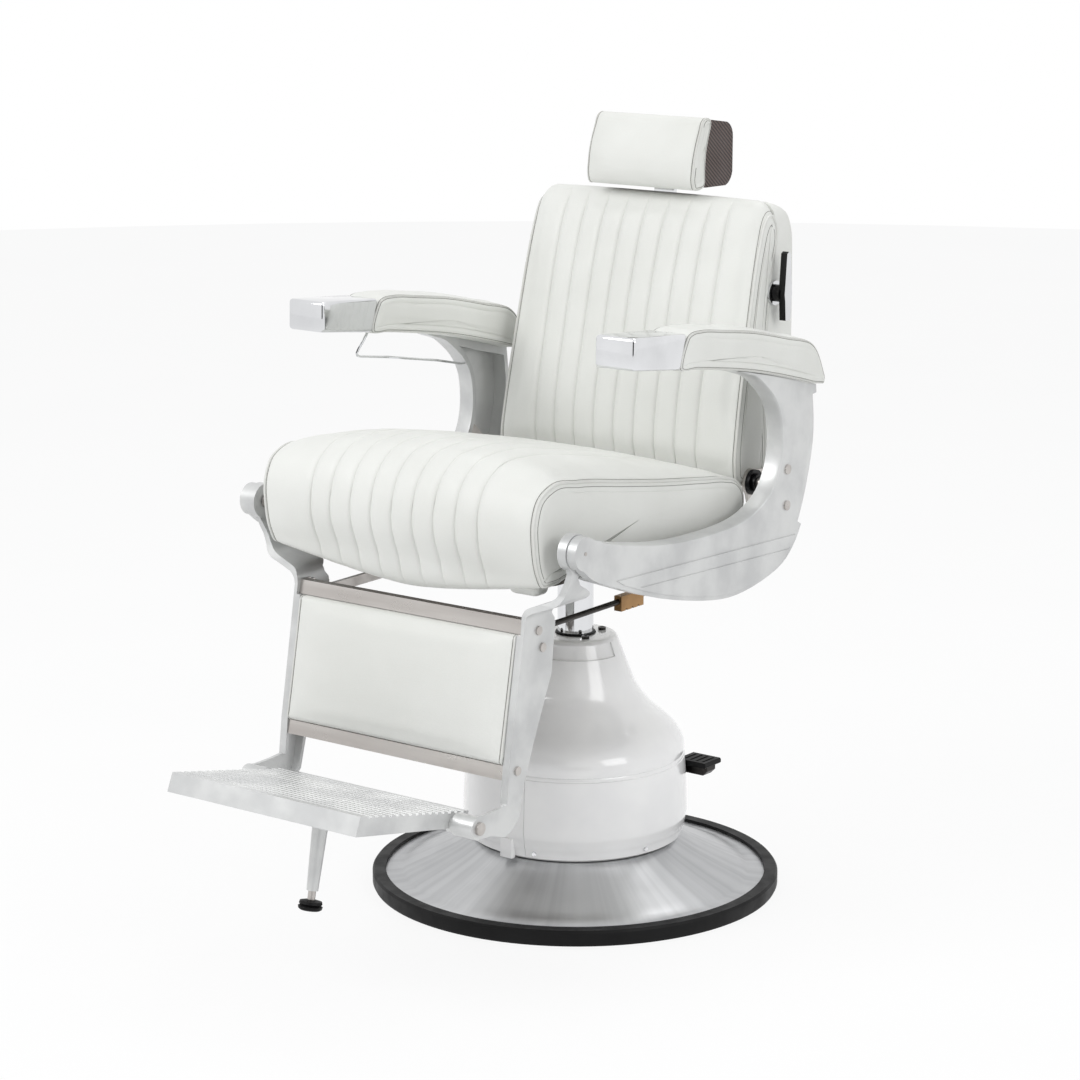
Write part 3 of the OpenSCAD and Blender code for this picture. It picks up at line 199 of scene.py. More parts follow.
@dataclass(frozen=True)
class Finish:
    """A surface of one stuff: two tones, roughness, metal, coat, relief in metres and gleam."""

    name: str
    low: str
    high: str
    rough: float = 0.4
    metal: float = 0.0
    coat: float = 0.0
    relief: float = 0.0002
    gleam: float = 0.5

    def tone(self, graph: Graph) -> Value:
        """Where the surface is nearer its second tone."""
        return graph.noise(9.0, 4.0).between(0.3, 0.7)

    def height(self, graph: Graph) -> Value:
        """The relief's height, from 0 to 1."""
        return graph.noise(160.0, 2.0)

    def gloss(self, graph: Graph) -> Value:
        """The roughness."""
        return graph.noise(30.0, 3.0).between(0.2, 0.8, self.rough * 0.85, self.rough * 1.2)

    def make(self) -> bpy.types.Material:
        """Builds the material.

        Returns:
            The finished material.
        """
        graph = Graph(self.name)
        bump = graph.node("Bump", {}, {
            "Strength": 0.6, "Distance": self.relief, "Height": self.height(graph)})
        shader = graph.node("BsdfPrincipled", {}, {
            "Base Color": graph.mix(self.tone(graph), self.low, self.high), "Metallic": self.metal,
            "Roughness": self.gloss(graph), "Coat Weight": self.coat, "Coat Roughness": 0.08,
            "Specular IOR Level": self.gleam, "Normal": bump.outputs[0]})
        graph.links.new(shader.outputs[0], graph.output.inputs[0])
        return graph.material


class Leather(Finish):
    """Upholstery leather with a fine pebble grain."""

    def height(self, graph: Graph) -> Value:
        """Pebbles about a millimetre across under softer creases."""
        return graph.cells(GRAIN).between(0.0, 0.35) * 0.6 + graph.noise(60.0, 4.0) * 0.9

    def tone(self, graph: Graph) -> Value:
        """Handling marks a hand wide, with grain a little darker."""
        marks = graph.noise(5.0, 3.0).between(0.25, 0.75)
        return marks * 0.75 + graph.cells(GRAIN).between(0.0, 0.3) * 0.25


class RibbedLeather(Finish):
    """Leather pressed into slanting ribs."""

    def rib(self, graph: Graph) -> Value:
        """The ribs' profile, one each 7 mm."""
        return ((graph.axis("Y") * 0.8 + graph.axis("Z")) * 900.0).math("SINE").between(-1.0, 1.0)

    def height(self, graph: Graph) -> Value:
        """Ribs with a little grain."""
        return self.rib(graph) + graph.noise(600.0) * 0.1

    def tone(self, graph: Graph) -> Value:
        """Painted shade: darker in the grooves between the ribs."""
        return self.rib(graph)


class SpunMetal(Finish):
    """A disc turned on a lathe: fine rings, and painted reflection gathered in rays."""

    def radius(self, graph: Graph) -> Value:
        """Distance from the disc's axis, in metres."""
        return (graph.axis("X") ** 2.0 + graph.axis("Y") ** 2.0) ** 0.5

    def tone(self, graph: Graph) -> Value:
        """Painted reflection: a bright lobe towards the front right and back left, and painted
        radial streaks of sheen from the axis, broad and narrow.
        """
        flat = graph.stretched((1.0, 1.0, 0.0))
        ray = graph.node("VectorMath", {"operation": "NORMALIZE"}, {0: flat}).outputs[0]
        parts = graph.node("SeparateXYZ", {}, {0: ray})
        across, along = Value(graph, parts.outputs[0]), Value(graph, parts.outputs[1])
        # painted highlight: brighter along one fixed direction across the disc, darker across it
        painted_highlight_lobe = (across * 0.5 - along * 0.86) ** 2.0
        return painted_highlight_lobe.between(0.0, 1.0) * 0.75 + graph.noise(16.0, 2.0, ray).between(0.3, 0.7) * 0.25

    def height(self, graph: Graph) -> Value:
        """Turning marks."""
        return (self.radius(graph) * 2600.0).math("SINE") * 0.5


class BrushedMetal(Finish):
    """Sheet or bar brushed along its length, which lies across the chair."""

    def height(self, graph: Graph) -> Value:
        """Long scratches along X."""
        return graph.noise(1.0, 3.0, graph.stretched((8.0, 500.0, 500.0)))

    def tone(self, graph: Graph) -> Value:
        """Soft bands along X."""
        return graph.noise(1.0, 3.0, graph.stretched((3.0, 40.0, 40.0))).between(0.25, 0.75)


class CastMetal(Finish):
    """Cast and tumbled metal with a faint sandy skin."""

    def height(self, graph: Graph) -> Value:
        """Sand grain and shallow waves."""
        return graph.noise(260.0, 2.0) * 0.25 + graph.noise(30.0, 2.0)

    def tone(self, graph: Graph) -> Value:
        """Cloudy tone."""
        return graph.noise(14.0, 5.0).between(0.3, 0.7)


class Stuff(Enum):
    """Every finish of the chair."""

    LEATHER = Leather("white_leather", "DCDDD8", "E8E9E5", 0.42, relief=0.00035)
    PIPING = Leather("white_piping", "CFCFCA", "E2E3DF", 0.4, relief=0.0002)
    THREAD = Finish("grey_thread", "6E6D68", "8C8B86", 0.7)
    RIBBED = RibbedLeather("ribbed_leather", "241C1A", "5A4A45", 0.45, relief=0.0012)
    CAST = CastMetal("polished_cast_metal", "C2C3C3", "D6D7D6", 0.34, 0.4, 0.1, 0.0002)
    ENAMEL = Finish("white_enamel", "F0F0F0", "F7F7F6", 0.16, 0.0, 0.6, 0.00003)
    SUPPORT = CastMetal("painted_casting", "DEDDD6", "EAE9E2", 0.36, 0.0, 0.2, 0.0003)
    SPUN = SpunMetal("spun_steel", "A9AAAC", "D9DADB", 0.33, 0.85, relief=0.00002)
    CHROME = Finish("chrome_plate", "D8D9DB", "E6E7E9", 0.07, 1.0, relief=0.00003)
    STEEL = BrushedMetal("brushed_stainless", "B4AFAB", "CAC6C2", 0.3, 0.85, relief=0.00003)
    DARK_STEEL = Finish("blackened_steel", "2B2A2A", "45423F", 0.36, 0.8)
    BRONZE = Finish("bronze", "8A6A45", "B08A5E", 0.34, 0.85)
    IRON = CastMetal("painted_iron", "2A2B2D", "3C3D3F", 0.55, 0.3)
    BLACK = Finish("black_moulding", "050506", "0E0E10", 0.3, 0.0, 0.0, gleam=0.25)
    RUBBER = Finish("black_rubber", "040405", "0C0C0D", 0.5, gleam=0.2)
    BOARD = Finish("sealed_board", "4C4640", "5F5850", 0.7)


SLOT_STUFF = {
    "iron": Stuff.IRON,
    "spun_steel": Stuff.SPUN,
    "ring_rubber": Stuff.RUBBER,
    "bronze": Stuff.BRONZE,
    "cover_white": Stuff.ENAMEL,
    "frame_cast": Stuff.CAST,
    "support_white": Stuff.SUPPORT,
    "steel": Stuff.STEEL,
    "chrome": Stuff.CHROME,
    "black_plastic": Stuff.BLACK,
    "rubber": Stuff.RUBBER,
    "leather": Stuff.LEATHER,
    "brown_leather": Stuff.RIBBED,
    "board": Stuff.BOARD,
    "dark_steel": Stuff.DARK_STEEL,
}


class Workshop:
    """Mixes the finishes and gives them to the nodes and the modelled pieces."""

    weld = 0.00002  # points closer than this are one point, in metres
    crease = 32.0  # edges sharper than this stay sharp, in degrees
    face_depth = 0.006  # thickness of the knob's plated face, in metres

    def __init__(self) -> None:
        """Mixes every finish once."""
        self.stuff = {stuff: stuff.value.make() for stuff in Stuff}
        self.slots = {row["node"]: row["material_slot"] for row in frame["record"]["subparts"]}

    def dress_nodes(self) -> None:
        """Gives every CAD node its finish and smooth rounded faces."""
        for name, piece in frame["nodes"].items():
            piece.data.materials.clear()
            piece.data.materials.append(self.stuff[SLOT_STUFF[self.slots[name]]])
            for face in piece.data.polygons:
                face.use_smooth = True
            weld = piece.modifiers.new("weld", "WELD")
            weld.merge_threshold = self.weld
            if name == "clamp_knob":
                self.plate_face(piece)
            split = piece.modifiers.new("split", "EDGE_SPLIT")
            split.split_angle = math.radians(self.crease)

    def plate_face(self, piece: bpy.types.Object) -> None:
        """Plates the knob's outer face."""
        piece.data.materials.append(self.stuff[Stuff.CHROME])
        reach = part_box(piece.name)[1].x
        for face in piece.data.polygons:
            if face.normal.x > 0.5 and face.center.x > reach - self.face_depth:
                face.material_index = 1

    def hand_over(self, piece: bpy.types.Object, stuff: Stuff, body: str) -> bpy.types.Object:
        """Finishes a piece and lets it ride.

        Args:
            piece: the modelled piece.
            stuff: its finish.
            body: the body that carries it.

        Returns:
            The piece.
        """
        piece.data.materials.clear()
        piece.data.materials.append(self.stuff[stuff])
        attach(piece, body)
        LOG.info("%s on %s, %d faces", piece.name, body, len(piece.data.polygons))
        return piece


def clear_selection() -> None:
    """Leaves edit mode and deselects everything."""
    if bpy.context.mode != "OBJECT":
        bpy.ops.object.mode_set(mode="OBJECT")
    bpy.ops.object.select_all(action="DESELECT")


def settle(name: str, smooth: float = 35.0) -> bpy.types.Object:
    """Names the active piece, moves its place into its mesh and smooths it.

    Args:
        name: the piece's name.
        smooth: the angle below which edges are smooth, in degrees.

    Returns:
        The piece.
    """
    piece = bpy.context.object
    piece.name = piece.data.name = name
    for modifier in list(piece.modifiers):
        bpy.ops.object.modifier_apply(modifier=modifier.name)
    bpy.ops.object.transform_apply(location=True, rotation=True, scale=True)
    bpy.ops.object.shade_smooth_by_angle(angle=math.radians(smooth))
    clear_selection()
    return piece


def mesh_piece(name: str, points: list[Vector], faces: list[list[int]]) -> bpy.types.Object:
    """Makes an object of points in metres and faces that point outwards.

    Args:
        name: the piece's name.
        points: the corners.
        faces: the corners of each face.

    Returns:
        The piece, shaded smooth.
    """
    mesh = bpy.data.meshes.new(name)
    mesh.from_pydata(points, [], faces)
    shape = bmesh.new()
    shape.from_mesh(mesh)
    bmesh.ops.recalc_face_normals(shape, faces=shape.faces)
    shape.to_mesh(mesh)
    shape.free()
    for face in mesh.polygons:
        face.use_smooth = True
    piece = bpy.data.objects.new(name, mesh)
    bpy.context.scene.collection.objects.link(piece)
    return piece


def flowing(ring: Ring, counts: list[int]) -> Ring:
    """Runs a smooth closed line through a ring's points.

    Args:
        ring: the points in turn.
        counts: how many steps each stretch takes.

    Returns:
        The closer points.
    """
    size = len(ring)
    span = [max(math.dist(ring[i], ring[(i + 1) % size]), 1e-6) for i in range(size)]
    slope = []
    for i in range(size):
        before, after, following = span[i - 1], span[i], ring[(i + 1) % size]
        slope.append(tuple(
            ((ring[i][k] - ring[i - 1][k]) / before * after
             + (following[k] - ring[i][k]) / after * before)
            / (before + after) for k in (0, 1)))
    line = []
    for i in range(size):
        j = (i + 1) % size
        for step in range(counts[i]):
            t = step / counts[i]
            a, b = 2 * t**3 - 3 * t**2 + 1, t**3 - 2 * t**2 + t
            c, d = 3 * t**2 - 2 * t**3, t**3 - t**2
            line.append(tuple(a * ring[i][k] + b * span[i] * slope[i][k] + c * ring[j][k]
                              + d * span[i] * slope[j][k] for k in (0, 1)))
    return line


def drawn_in(ring: Ring, depth: float) -> Ring:
    """Moves a ring's points inwards along its own normals.

    Args:
        ring: the points in turn.
        depth: how far they move, in mm.

    Returns:
        The moved points.
    """
    size = len(ring)
    area = sum(ring[i - 1][0] * ring[i][1] - ring[i][0] * ring[i - 1][1] for i in range(size))
    sign = 1 if area > 0 else -1
    out = []
    for i in range(size):
        (y, z), before, after = ring[i], ring[i - 1], ring[(i + 1) % size]
        dy, dz = after[0] - before[0], after[1] - before[1]
        length = math.hypot(dy, dz) or 1.0
        out.append((y - sign * depth * dz / length, z + sign * depth * dy / length))
    return out


def tube(name: str, line: list[Vector], radius: float) -> bpy.types.Object:
    """Makes a thin round cord of mesh along a closed line.

    Args:
        name: the piece's name.
        line: its points in metres.
        radius: its radius in metres.

    Returns:
        The piece.
    """
    curve = bpy.data.curves.new(name, "CURVE")
    curve.dimensions, curve.bevel_depth, curve.bevel_resolution = "3D", radius, 2
    curve.use_fill_caps = False
    spline = curve.splines.new("POLY")
    spline.points.add(len(line) - 1)
    for point, place in zip(spline.points, line):
        point.co = (*place, 1.0)
    spline.use_cyclic_u = True
    helper = bpy.data.objects.new(name + "_line", curve)
    bpy.context.scene.collection.objects.link(helper)
    bpy.context.view_layer.update()
    shape = helper.evaluated_get(bpy.context.evaluated_depsgraph_get())
    mesh = bpy.data.meshes.new_from_object(shape)
    bpy.data.objects.remove(helper)
    piece = bpy.data.objects.new(name, mesh)
    mesh.name = name
    for face in mesh.polygons:
        face.use_smooth = True
    bpy.context.scene.collection.objects.link(piece)
    return piece


def swell(piece: bpy.types.Object, cell: float, cap: float, least: float) -> None:
    """Fills a cover under pressure and gives the swelling to the sewn mesh.

    Args:
        piece: the sewn cover, a little small.
        cell: the size of the simulated cloth's mesh, in metres.
        cap: the furthest that a point may move, in metres.
        least: how far each point moves outwards at the least, in metres.
    """
    clear_selection()
    proxy = bpy.data.objects.new("filling", piece.data.copy())
    bpy.context.scene.collection.objects.link(proxy)
    bpy.context.view_layer.objects.active = proxy
    proxy.select_set(True)
    proxy.data.remesh_voxel_size = cell
    bpy.ops.object.voxel_remesh()
    rest = [point.co.copy() for point in proxy.data.vertices]
    cloth = proxy.modifiers.new("filling", "CLOTH")
    cloth.settings.use_pressure = True
    cloth.settings.uniform_pressure_force = CLOTH_PRESSURE
    cloth.settings.effector_weights.gravity = 0.0
    scene = bpy.context.scene
    for moment in range(1, CLOTH_STEPS + 1):
        scene.frame_set(moment)
    shape = proxy.evaluated_get(bpy.context.evaluated_depsgraph_get())
    moved = [point.co.copy() for point in shape.data.vertices]
    scene.frame_set(1)
    tree = KDTree(len(rest))
    for i, place in enumerate(rest):
        tree.insert(place, i)
    tree.balance()
    outward = [point.normal.copy() for point in piece.data.vertices]
    for point in piece.data.vertices:
        total, weight = Vector(), 0.0
        for _, i, away in tree.find_n(point.co, NEIGHBOURS):
            share = 1.0 / (away + cell * 0.5)
            total += (moved[i] - rest[i]) * share
            weight += share
        step = total / weight
        if step.length > cap:
            step *= cap / step.length
        out = outward[point.index]
        step += out * max(0.0, least - step.dot(out))
        point.co += step
    bpy.data.objects.remove(proxy)


@dataclass
class Cushion:
    """A sewn and filled cushion, drawn as sections side by side across the chair.

    Sizes are in mm; a section is a ring of (y, z) points above the seat line.
    The sewn mesh starts smaller than the finished cushion by slack, and cap is
    the furthest that the filling moves it. edge is the side edges' rounding,
    and bulge is how far the two side panels stand out.
    """

    name: str
    nodes: tuple[str, ...]
    body: str
    half: float
    section: Callable[[float], Ring]
    edge: float = 9.0
    middle: float = 0.0
    pitch: float = 0.0
    seams: int = 0
    step: float = 9.0
    bulge: float = 4.0
    slack: float = 3.0
    cap: float = 6.0
    cell: float = 6.0
    welt: float = 2.3
    fill: float = 0.7
    shape_x: Callable[[float, float], float] = lambda x, z: x
    counts: list[int] = field(default_factory=list)

    def stations(self) -> list[float]:
        """Where the sections stand, closer at the seams and the edges."""
        places = {0.0}
        reach = self.half - self.edge
        if self.seams:
            for i in range(-self.seams, self.seams + 1):
                for off in (0.0, 1.3, 3.2, 7.0, 13.0, SEWN_REACH):
                    places |= {self.pitch * i + off, self.pitch * i - off}
            reach_in = self.pitch * self.seams + SEWN_REACH
            places = {p for p in places if abs(p) <= reach_in}
        else:
            reach_in = 0.0
        count = max(2, round((reach - reach_in) / 9))
        for k in range(1, count + 1):
            place = reach_in + (reach - reach_in) * k / count
            places |= {place, -place}
        for k in range(1, 6):
            place = reach + self.edge * math.sin(math.pi / 2 * k / 5)
            places |= {place, -place}
        return sorted(round(p, 4) for p in places)

    def rounding(self, x: float) -> float:
        """How far the section is drawn in near the side edges."""
        over = (abs(x) - (self.half - self.edge)) / self.edge
        return 0.0 if over <= 0 else self.edge * (1 - math.sqrt(max(0.0, 1 - over * over)))

    def place(self, x: float, y: float, z: float) -> Vector:
        """A point of the chair, in metres."""
        across = self.middle + self.shape_x(x, z)
        return Vector((across / 1000, y / 1000, (z + SEAT_LINE) / 1000))

    def ring(self, x: float, extra: float = 0.0) -> Ring:
        """The close smooth section at x, drawn in by the rounding and extra."""
        plain = self.section(x)
        return drawn_in(flowing(plain, self.counts), self.rounding(x) + extra)

    def sew(self, slack: float) -> bpy.types.Object:
        """Makes the sewn cover, with both side panels.

        Args:
            slack: how far it is smaller than the finished cushion, in mm.

        Returns:
            The cover, not yet filled.
        """
        rings = [(x, self.ring(x, slack)) for x in self.stations()]
        size = len(rings[0][1])
        ends = []
        for x, ring in (rings[0], rings[-1]):
            centre = [sum(p[k] for p in ring) / size for k in (0, 1)]
            rows = []
            for share in (0.97, 0.9, 0.75, 0.5, 0.25):
                out = math.copysign(abs(x) + self.bulge * (1 - share ** 3) - slack * 0.5, x)
                rows.append((out, [tuple(centre[k] + (p[k] - centre[k]) * share for k in (0, 1))
                                   for p in ring]))
            ends.append((rows, centre))
        rows = [*reversed(ends[0][0]), *rings, *ends[1][0]]
        points = [self.place(x, *p) for x, ring in rows for p in ring]
        faces = [[r * size + i, r * size + (i + 1) % size,
                  (r + 1) * size + (i + 1) % size, (r + 1) * size + i]
                 for r in range(len(rows) - 1) for i in range(size)]
        for row, (fan, centre) in ((0, ends[0]), (len(rows) - 1, ends[1])):
            points.append(self.place(fan[-1][0] * 1.002, *centre))
            faces += [[len(points) - 1, row * size + i, row * size + (i + 1) % size]
                      for i in range(size)]
        return mesh_piece(self.name, points, faces)

    def build(self, shop: Workshop) -> bpy.types.Object:
        """Sews and fills the cushion and hands it over with its piping.

        Args:
            shop: the workshop.

        Returns:
            The cushion.
        """
        base = self.section(0.0)
        self.counts = [max(1, round(math.dist(base[i], base[(i + 1) % len(base)]) / self.step))
                       for i in range(len(base))]
        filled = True
        piece = self.sew(self.slack if filled else 0.0)
        if filled:
            swell(piece, self.cell / 1000, self.cap / 1000, self.slack * 0.85 / 1000)
        finer = piece.modifiers.new("finer", "SUBSURF")
        finer.levels = finer.render_levels = 1
        clear_selection()
        bpy.context.view_layer.objects.active = piece
        bpy.ops.object.modifier_apply(modifier=finer.name)
        shop.hand_over(piece, Stuff.LEATHER, self.body)
        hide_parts(*self.nodes)
        self.pipe(shop, piece)
        return piece

    def pipe(self, shop: Workshop, piece: bpy.types.Object) -> None:
        """Lays piping and its two rows of grey thread round both side edges.

        Args:
            shop: the workshop.
            piece: the finished cushion, on whose skin they lie.
        """
        if not self.welt:
            return
        inset = self.edge * 0.29
        for side, word in ((-1, "right"), (1, "left")):
            x = side * (self.half - inset)
            for kind, dx, extra, radius, stuff in (
                    ("piping", 0.0, -0.4, self.welt, Stuff.PIPING),
                    ("thread_top", -self.welt * 1.25, -0.5, 0.5, Stuff.THREAD),
                    ("thread_side", self.welt * 1.1, 0.9, 0.5, Stuff.THREAD)):
                at = x + side * dx
                line = []
                for p in self.ring(at, extra):
                    _, near, out, _ = piece.closest_point_on_mesh(self.place(at, *p))
                    proud = 0.35 if stuff is Stuff.PIPING else 0.1
                    line.append(near + out * radius / 1000 * proud)
                cord = tube(f"{self.name}_{kind}_{word}", line, radius / 1000)
                shop.hand_over(cord, stuff, self.body)


def fade(share: float, power: float = 3.0) -> float:
    """1 in the middle, falling to 0 at the edge."""
    return 1 - min(abs(share), 1.0) ** power


@dataclass
class Upholstery:
    """All cushions of the chair."""

    seat_half: float = 268.0
    back_half: float = 241.0
    head_half: float = 107.0
    leg_half: float = 215.0
    arm_half: float = 37.0
    arm_middle: float = 304.5
    pitch: float = 41.0
    seams: int = 4

    def sewn(self, x: float) -> float:
        """How far the sewn channels draw the cover in at x."""
        if abs(x) > self.pitch * self.seams + 12:
            return 0.0
        away = abs(x / self.pitch - round(x / self.pitch)) * self.pitch
        return 4.2 * math.exp(-away / 2.3) + 1.2 * (1 - min(away / SEWN_REACH, 1.0)) ** 2

    def seat_section(self, x: float) -> Ring:
        """The seat cushion's section at x."""
        s = x / self.seat_half
        c, lip, b, g = 36 * fade(s), 2 + 36 * fade(s, 1.5), 10 * fade(s), self.sewn(x)
        return [(40, 0), (-180, 0), (-397, 0), (-404, -.75 * lip), (-424, -lip),
                (-441 + g / 2, -.8 * lip), (-452 + g - b / 2, 14), (-464 + g - b, 62),
                (-464 + g - b, 104), (-450 + .7 * g - b / 2, 134 + .35 * c - .7 * g),
                (-418, 150 + .7 * c - g), (-350, 146 + .95 * c - g), (-240, 129 + c - g),
                (-130, 112 + .85 * c - g), (-20, 98 + .55 * c - g), (40, 90 + .25 * c - g),
                (74, 80 + .15 * c), (92, 62), (97, 40), (84, 12)]

    def back_section(self, x: float) -> Ring:
        """The back cushion's section at x."""
        s = x / self.back_half
        c, g = 16 * fade(s), self.sewn(x)
        d = 27 * (max(0.0, abs(s) - .89) / .11) ** 2

        def board(z: float) -> float:
            """The board's front face at that height."""
            return 172 + (z - 58) * .1445 - .3

        return [(board(58), 58), (128, 58), (114 + g / 2, 68), (110 + g - .4 * c, 92),
                (116 + g - .8 * c, 140), (128 + g - c, 200), (144 + g - c, 270),
                (160 + g - c, 340), (176 + g - .8 * c, 410 - d / 3),
                (190 + g - .5 * c, 464 - .8 * d), (200 + .7 * g - .2 * c, 494 - d),
                (211, 508 - d + .2 * c), (226, 510 - d + .2 * c),
                (board(502 - d), 502 - d), (board(380), 380 - d / 3), (board(220), 220)]

    def back_x(self, x: float, z: float) -> float:
        """Narrows the back cushion towards its top."""
        half = self.back_half - 13 * min(max((z - 84) / 426, 0.0), 1.0)
        straight = 172
        if abs(x) <= straight:
            return x
        share = (abs(x) - straight) * (half - straight) / (self.back_half - straight)
        return math.copysign(straight + share, x)

    def head_section(self, x: float) -> Ring:
        """The headrest pad's section at x."""
        b = 8 * fade(x / self.head_half, 4)
        return [(206.5, 526), (190, 522.5), (179, 523.5), (174 - .5 * b, 534), (176 - b, 560),
                (184 - b, 592), (195 - .6 * b, 619), (203, 636), (212, 640), (226.2, 636),
                (220.7, 610), (213.6, 587), (210, 556)]

    def leg_section(self, x: float) -> Ring:
        """The leg pad's section at x, on its leaning board."""
        b = 9 * fade(x / self.leg_half)
        start, along, out = (-434.0, -81.0), (-.1894, -.9819), (-.9819, .1894)
        rows = [(0, -15), (100, -15), (200, -15), (200.6, -8), (200.6, 2), (197, 6.5),
                (186, 7 + .4 * b), (150, 7 + .85 * b), (100, 7 + b), (50, 7 + .85 * b),
                (14, 7 + .4 * b), (3.5, 6.5), (0, 2), (0, -8)]
        return [(start[0] + along[0] * s + out[0] * o, start[1] + along[1] * s + out[1] * o)
                for s, o in rows]

    def arm_section(self, x: float) -> Ring:
        """An arm pad's side profile at x from its own middle."""
        low = [(-192, 301), (-150, 296), (-77, 285.4), (5, 271.4), (78, 255.4), (140, 240),
               (202, 225.4)]
        crown = 3 * fade(x / self.arm_half, 2)
        top = [(-192, 345), (-189, 352), (-178, 357), (-150, 358), (-77, 350.5), (-34, 345),
               (5, 339), (40, 332), (78, 323.5), (110, 316), (145, 309), (172, 301),
               (190, 288), (205, 266), (214, 247), (219, 236), (219, 226)]
        ring = low + [(y, h + crown - 2) for y, h in reversed(top)]
        return [(y + .315 * (z - 301) * max(1 - (y + 192) / 130, 0), z) if y < -62 else (y, z)
                for y, z in ring]

    def build(self, shop: Workshop) -> None:
        """Makes every cushion and pad."""
        parts = [
            Cushion("seat_upholstery", ("seat_cushion",), "seat", self.seat_half, self.seat_section,
                    edge=12, pitch=self.pitch, seams=self.seams, bulge=5, welt=2.6),
            Cushion("back_upholstery", ("back_cushion",), "back", self.back_half, self.back_section,
                    edge=9, pitch=self.pitch, seams=self.seams, bulge=2, shape_x=self.back_x,
                    welt=2.6),
            Cushion("headrest_upholstery", ("headrest_pad",), "headrest", self.head_half,
                    self.head_section, edge=7, step=6, bulge=2, slack=2, cap=4, cell=4, welt=1.5),
            Cushion("leg_upholstery", ("leg_pad",), "legrest", self.leg_half, self.leg_section,
                    edge=7, step=7, bulge=1, slack=2, cap=4, cell=4, welt=1.7, fill=0.5),
        ]
        for side, word in ((-1, "right"), (1, "left")):
            parts.append(Cushion(
                f"arm_upholstery_{word}", (f"arm_pad_{word}",), "seat", self.arm_half,
                self.arm_section, edge=9, middle=side * self.arm_middle, step=7, bulge=1,
                slack=2, cap=3.5, cell=4, welt=1.0))
        for part in parts:
            piece = part.build(shop)
            new = [[f([v.co[k] for v in piece.data.vertices]) for k in range(3)]
                   for f in (min, max)]
            LOG.info("box of %s: %s against %s", part.name, *(
                [[round(v * 1000) for v in corner] for corner in corners]
                for corners in (new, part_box(part.nodes[0]))))


@dataclass
class Trim:
    """Small hard pieces that dress the construction.

    The cap's middle and half width are in mm, its wall, depth and corner in metres.
    """

    arm_middle: float = 304.5
    tip_half: float = 36.5
    tip_wall: float = 0.012
    tip_depth: float = 0.03
    tip_corner: float = 0.009

    def lug(self, shop: Workshop) -> None:
        """The painted stop under the seat's front, with a rounded lower edge."""
        clear_selection()
        bpy.ops.mesh.primitive_cube_add(size=1, location=(0.212, -0.405, 0.614))
        piece = bpy.context.object
        piece.scale = (0.056, 0.036, 0.024)
        bpy.ops.object.transform_apply(location=False, rotation=False, scale=True)
        bevel = piece.modifiers.new("round", "BEVEL")
        bevel.width, bevel.segments = 0.0105, 5
        shop.hand_over(settle("seat_stop"), Stuff.LEATHER, "seat")

    def seam_tab(self, shop: Workshop) -> None:
        """The stepped clip that holds the band's two halves together at the front."""
        low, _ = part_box("band_left")
        clear_selection()
        bpy.ops.mesh.primitive_cube_add(size=1, location=(0.0, low.y - 0.0005, low.z + 0.017))
        piece = bpy.context.object
        piece.scale = (0.021, 0.007, 0.03)
        bpy.ops.object.transform_apply(location=False, rotation=False, scale=True)
        for face in piece.data.polygons:
            face.select = face.normal.y < -0.9
        bpy.ops.object.mode_set(mode="EDIT")
        bpy.ops.mesh.select_mode(type="FACE")
        bpy.ops.mesh.inset(thickness=0.004, depth=0.0016)
        bpy.ops.object.mode_set(mode="OBJECT")
        bevel = piece.modifiers.new("round", "BEVEL")
        bevel.width, bevel.segments = 0.0012, 2
        shop.hand_over(settle("band_clip"), Stuff.ENAMEL, "base")

    def arm_tip(self, shop: Workshop, side: int, word: str) -> None:
        """A polished cap on an arm's front end, hollow from below, with rounded corners.

        Args:
            shop: the workshop.
            side: 1 for the sitter's left, -1 for the right.
            word: the side's name.
        """
        profile = {(-1, -1): (-317.5, 316.0), (1, -1): (-193.0, 301.0),
                   (1, 1): (-176.0, 355.0), (-1, 1): (-316.0, 365.5)}
        clear_selection()
        bpy.ops.mesh.primitive_cube_add(size=2, location=(0, 0, 0))
        piece = bpy.context.object
        for point in piece.data.vertices:
            y, z = profile[(round(point.co.y), round(point.co.z))]
            across = side * self.arm_middle + point.co.x * self.tip_half
            point.co = (across / 1000, y / 1000, (z + SEAT_LINE) / 1000)
        piece.data.update()
        for face in piece.data.polygons:
            face.select = face.normal.z < -0.8
        bpy.ops.object.mode_set(mode="EDIT")
        bpy.ops.mesh.select_mode(type="FACE")
        bpy.ops.mesh.inset(thickness=self.tip_wall, depth=0)
        bpy.ops.mesh.inset(thickness=0.0008, depth=-self.tip_depth)
        bpy.ops.object.mode_set(mode="OBJECT")
        bevel = piece.modifiers.new("round", "BEVEL")
        bevel.width, bevel.segments, bevel.limit_method = self.tip_corner, 5, "ANGLE"
        tip = shop.hand_over(settle(f"arm_cap_{word}", 50), Stuff.CHROME, "seat")
        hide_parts(f"arm_tip_{word}")

    def build(self, shop: Workshop) -> None:
        """Makes the trim."""
        self.lug(shop)
        self.seam_tab(shop)
        self.arm_tip(shop, 1, "left")
        self.arm_tip(shop, -1, "right")


